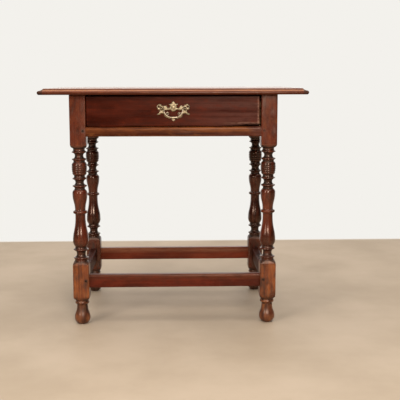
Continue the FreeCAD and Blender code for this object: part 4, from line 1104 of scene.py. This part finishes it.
piece = made("handle_plate_cast", scrolled, cast, {
    "Outline": pattern, "Middle": handle_middle + Vector((0, 0, BOSS_ABOVE)), "Pivot Below": -BOSS_ABOVE,
    "Post Offset": post.x - handle_middle.x, "Material": brass, **PLATE_AGE,
}, remesh=PLATE_VOXEL)
bpy.data.objects.remove(pattern)
settle(piece, "drawer", "brass", "handle_plate")

# Handle posts: turned brass studs with a moulded collar and a ball, bored across for the bail and
# threaded behind, where a square nut draws them tight inside the drawer.
STUD_RADIUS = 0.0025
THREAD_DEEP = 0.00028
THREAD_PITCH = 0.0009
THREADED = 0.0068
COLLAR_SHARES = (
    (0.97, 0.00), (1.00, 0.10), (1.00, 0.35), (0.93, 0.50),
    (0.80, 0.56), (0.84, 0.75), (0.74, 0.92), (0.58, 1.00),
)
COLLAR_RADIUS = 0.0054
COLLAR_THICK = 0.0018
NECK_RADIUS = 0.0028
BALL_RADIUS = 0.0043
BALL_STEPS = 14
TIP_RADIUS = 0.0011
TIP_SHARES = ((1.0, 0.4), (0.6, 0.7), (0.0, 0.8))
STUD_COLUMNS = 48
STUD_SQUARE = 1.0
STUD_SQUARENESS = 2.0
POST_AGE = {
    "Swell": 0.0001, "Chipping": 0.0, "Arris": 0.0006, "Pitch": (300.0, 300.0, 300.0), "Seed": 91.0,
}


def post_outline(tail, plate_face, ball_at):
    """Out from the post's axis, and forward from the drawer's face, from the tail to the tip."""
    line = [(0.0, -tail), (STUD_RADIUS - THREAD_DEEP, -tail)]
    for turn in range(round(THREADED / THREAD_PITCH)):
        forward = -tail + (turn + 0.5) * THREAD_PITCH
        line += [(STUD_RADIUS, forward), (STUD_RADIUS - THREAD_DEEP, forward + THREAD_PITCH / 2)]
    line += [(STUD_RADIUS, -tail + THREADED + THREAD_PITCH), (STUD_RADIUS, plate_face)]
    line += [(COLLAR_RADIUS * out, plate_face + COLLAR_THICK * up) for out, up in COLLAR_SHARES]
    start = math.pi - math.asin(NECK_RADIUS / BALL_RADIUS)
    end = math.asin(TIP_RADIUS / BALL_RADIUS)
    for step in range(BALL_STEPS + 1):
        turn = start + (end - start) * step / BALL_STEPS
        line.append((BALL_RADIUS * math.sin(turn), ball_at + BALL_RADIUS * math.cos(turn)))
    tip = ball_at + BALL_RADIUS
    line += [(TIP_RADIUS * out, tip + TIP_RADIUS * up) for out, up in TIP_SHARES]
    return [Vector((out, STUD_SQUARE, forward)) for out, forward in line]


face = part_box("drawer_front")[0].y
bail_low, bail_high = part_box("handle_bail")
pivot_y = post_low.y + BALL_RADIUS
for node in ("handle_post_left", "handle_post_right"):
    low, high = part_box(node)
    line = post_outline(high.y - face, face - plate_low.y, face - pivot_y)
    piece = made(node + "_turned", point_mesh(node, line), billet, {
        "Axis": (0.0, 0.0, 0.0), "Squareness": STUD_SQUARENESS, "Columns": STUD_COLUMNS, "Material": brass,
        **POST_AGE,
    })
    middle = (low + high) / 2
    laid = Matrix.Rotation(math.pi / 2, 4, "X")
    piece.data.transform(Matrix.Translation((middle.x, face, middle.z)) @ laid)
    settle(piece, "drawer", "brass", node)

# Bail: a cast brass loop that hangs from pins in the two posts, swelling to a baluster at the grip
# with a small ring at each side of it, bright below where fingers lift it.
BAIL_HALF = 0.0280
BAIL_DROP = 0.0260
BAIL_POINTS = 96
BAIL_STATIONS = 220
BAIL_SIDES = 28
BAIL_FULLNESS = 2.35
BAIL_RADIUS = 0.0018
GRIP_SWELL = 0.0011
GRIP_SHARE = 0.085
RING_SWELL = 0.0006
RING_SHARE = 0.007
RING_AT_SHARE = 0.15
KNUCKLE_RADIUS = 0.0025
PIN_RADIUS = 0.0016
BAIL_AGE = {
    "Swell": 0.0001, "Chipping": 0.0, "Arris": 0.0012, "Pitch": (300.0, 300.0, 300.0), "Seed": 93.0,
}


def bulge(tree, distance, width):
    """A rounded swelling, one at its middle and falling away over its width."""
    share = work(tree, "DIVIDE", distance, width)
    return work(tree, "EXPONENT", times(tree, times(tree, share, share), -1.0))


loop, given = new_tree("bail_loop", {
    "Radius": "Float", "Grip": "Float", "Ring": "Float", "Points": "Int", **FINISH,
})
path = put(loop, "GeometryNodeMeshToCurve", {0: given["Geometry"]}).outputs[0]
path = put(loop, "GeometryNodeResampleCurve", {"Curve": path, "Count": given["Points"]}).outputs[0]
run = put(loop, "GeometryNodeSplineParameter").outputs["Factor"]
from_middle = work(loop, "ABSOLUTE", less(loop, run, 0.5))
thick = scaled(loop, bulge(loop, from_middle, GRIP_SHARE), given["Grip"], given["Radius"])
from_ring = less(loop, from_middle, RING_AT_SHARE)
thick = scaled(loop, bulge(loop, from_ring, RING_SHARE), given["Ring"], thick)
path = put(loop, "GeometryNodeSetCurveRadius", {"Curve": path, "Radius": thick}).outputs[0]
ring = put(loop, "GeometryNodeCurvePrimitiveCircle", {"Resolution": BAIL_SIDES, "Radius": 1.0}).outputs[0]
tube = put(loop, "GeometryNodeCurveToMesh", {
    "Curve": path, "Profile Curve": ring, "Scale": thick, "Fill Caps": True,
}).outputs[0]
finish_tree(loop, given, tube)

line = []
for step in range(BAIL_POINTS + 1):
    turn = math.pi * step / BAIL_POINTS
    over, down = math.cos(turn), math.sin(turn)
    line.append((
        handle_middle.x - math.copysign(abs(over) ** (2 / BAIL_FULLNESS), over) * BAIL_HALF,
        pivot_y, post.z - abs(down) ** (2 / BAIL_FULLNESS) * BAIL_DROP,
    ))
mesh = bpy.data.meshes.new("bail_path")
mesh.from_pydata(line, [(at, at + 1) for at in range(BAIL_POINTS)], [])
piece = made("handle_bail_loop", mesh, loop, {
    "Radius": BAIL_RADIUS, "Grip": GRIP_SWELL, "Ring": RING_SWELL, "Points": BAIL_STATIONS,
    "Material": brass, **BAIL_AGE,
})
shape = bmesh.new()
shape.from_mesh(piece.data)
for side in (-1, 1):
    corner = Vector((handle_middle.x + BAIL_HALF * side, pivot_y, post.z))
    at_corner = Matrix.Translation(corner)
    bmesh.ops.create_uvsphere(shape, u_segments=24, v_segments=16, radius=KNUCKLE_RADIUS, matrix=at_corner)
    pin_end = bail_high.x if side > 0 else bail_low.x
    pin = Matrix.Translation(((corner.x + pin_end) / 2, pivot_y, post.z))
    pin = pin @ Matrix.Rotation(math.pi / 2, 4, "Y")
    bmesh.ops.create_cone(
        shape, cap_ends=True, segments=24, radius1=PIN_RADIUS, radius2=PIN_RADIUS,
        depth=abs(pin_end - corner.x), matrix=pin,
    )
for one in shape.faces:
    one.smooth = True
shape.to_mesh(piece.data)
shape.free()
settle(piece, "bail", "brass", "handle_bail")

# Stage: a plain pale floor that goes over to white paper behind the table, and a white backdrop a
# good way off. The paper shows its white to the camera and to the polish, and lights nothing more.
FLOOR_TONES = ("a6937d", "b5a28d")
PAPER_TONE = "f3f1ec"
PAPER_EDGE = (1.10, 1.15)
FLOOR_ROUGHNESS = 0.6
FLOOR_REACH = 7.0
BACKDROP_AT = 6.0
BACKDROP_HEIGHT = 5.0

line = [(-FLOOR_REACH, 0.0), (BACKDROP_AT, 0.0), (BACKDROP_AT, BACKDROP_HEIGHT)]
points = [(over, deep, up) for deep, up in line for over in (-FLOOR_REACH, FLOOR_REACH)]
floor = bpy.data.objects.new("floor", point_mesh("floor", points, [(0, 1, 3, 2), (2, 3, 5, 4)]))
bpy.context.scene.collection.objects.link(floor)
paper, tree, spot = new_material("pale_floor")
sides = split(tree, spot)
cloud = speckle(tree, spot, (3.1, 3.1, 3.1), 3.0, 5.0).outputs[0]
ground = blend(tree, ease(tree, cloud, 0.3, 0.7), *(tone(one) for one in FLOOR_TONES))
is_paper = ease(tree, sides[1], *PAPER_EDGE)
colour = blend(tree, is_paper, ground, tone(PAPER_TONE))
shader = put(tree, "ShaderNodeBsdfPrincipled", {"Base Color": colour, "Roughness": FLOOR_ROUGHNESS})
white = put(tree, "ShaderNodeEmission", {"Color": tone(PAPER_TONE)})
path = put(tree, "ShaderNodeLightPath").outputs
shown = work(tree, "MAXIMUM", path["Is Camera Ray"], path["Is Glossy Ray"])
shown = times(tree, shown, is_paper)
shader = put(tree, "ShaderNodeMixShader", {0: shown, 1: shader.outputs[0], 2: white.outputs[0]})
put(tree, "ShaderNodeOutputMaterial", {0: shader.outputs[0]})
floor.data.materials.append(paper)

# Light: a tall soft lamp behind the camera and a weaker one to the left, both above the height of the
# top, wide soft light overhead, a glow from the backdrop, and a pale world that is dim to the polish.
TABLE_MIDDLE = Vector((0.0, 0.0, 0.42))
LAMP_TONE = (1.0, 0.96, 0.90)
WORLD_STRENGTH = 0.34
WORLD_TO_POLISH = 0.08
LAMPS = {
    "tall_front": ((0.30, -3.0, 1.50), (0.50, 1.05), 57.0),
    "tall_left": ((-2.0, -2.5, 1.45), (0.45, 1.2), 34.0),
    "overhead": ((0.0, 0.2, 3.0), (4.4, 4.0), 88.0),
    "overhead_strip": ((0.0, -1.0, 2.6), (2.6, 2.0), 20.0),
    "backdrop_glow": ((0.0, 3.2, 1.9), (4.4, 2.2), 24.0),
}
for name, (place, extent, power) in LAMPS.items():
    lamp = bpy.data.lights.new(name, "AREA")
    lamp.shape = "RECTANGLE"
    lamp.size, lamp.size_y = extent
    lamp.energy = power
    lamp.color = LAMP_TONE
    holder = bpy.data.objects.new(name, lamp)
    holder.location = place
    holder.rotation_euler = (TABLE_MIDDLE - Vector(place)).to_track_quat("-Z", "Y").to_euler()
    holder.visible_camera = False
    bpy.context.scene.collection.objects.link(holder)
world = bpy.data.worlds.new("pale_world")
world.use_nodes = True
bpy.context.scene.world = world
tree = world.node_tree
tree.nodes.clear()
path = put(tree, "ShaderNodeLightPath").outputs
dimmed = WORLD_TO_POLISH - WORLD_STRENGTH
strength = scaled(tree, path["Is Glossy Ray"], dimmed, WORLD_STRENGTH)
strength = work(tree, "MAXIMUM", strength, path["Is Camera Ray"])
pale = put(tree, "ShaderNodeBackground", {"Color": tone(PAPER_TONE), "Strength": strength})
put(tree, "ShaderNodeOutputWorld", {0: pale.outputs[0]})

# Camera: a few steps in front of the table and a little above the top, looking a little down and to
# the right. Its place and its focus were fitted to the edges of the legs, the top and the rails.
FOCUS_PIXELS = 829.35
IMAGE_PIXELS = 400
CAMERA_PLACE = (0.0024, -2.7143, 0.7511)
CAMERA_PITCH = 8.30
CAMERA_TURN = 1.742
CAMERA_ROLL = -0.095
lens = bpy.data.cameras.new("camera")
lens.sensor_width = 36.0
lens.lens = FOCUS_PIXELS / IMAGE_PIXELS * lens.sensor_width
camera = bpy.data.objects.new("camera", lens)
aim = Matrix.Rotation(math.radians(-CAMERA_TURN), 4, "Z")
aim = aim @ Matrix.Rotation(math.radians(90.0 - CAMERA_PITCH), 4, "X")
aim = aim @ Matrix.Rotation(math.radians(CAMERA_ROLL), 4, "Z")
camera.matrix_world = Matrix.Translation(CAMERA_PLACE) @ aim
bpy.context.scene.collection.objects.link(camera)
bpy.context.scene.camera = camera
bpy.context.scene.view_settings.view_transform = "Standard"
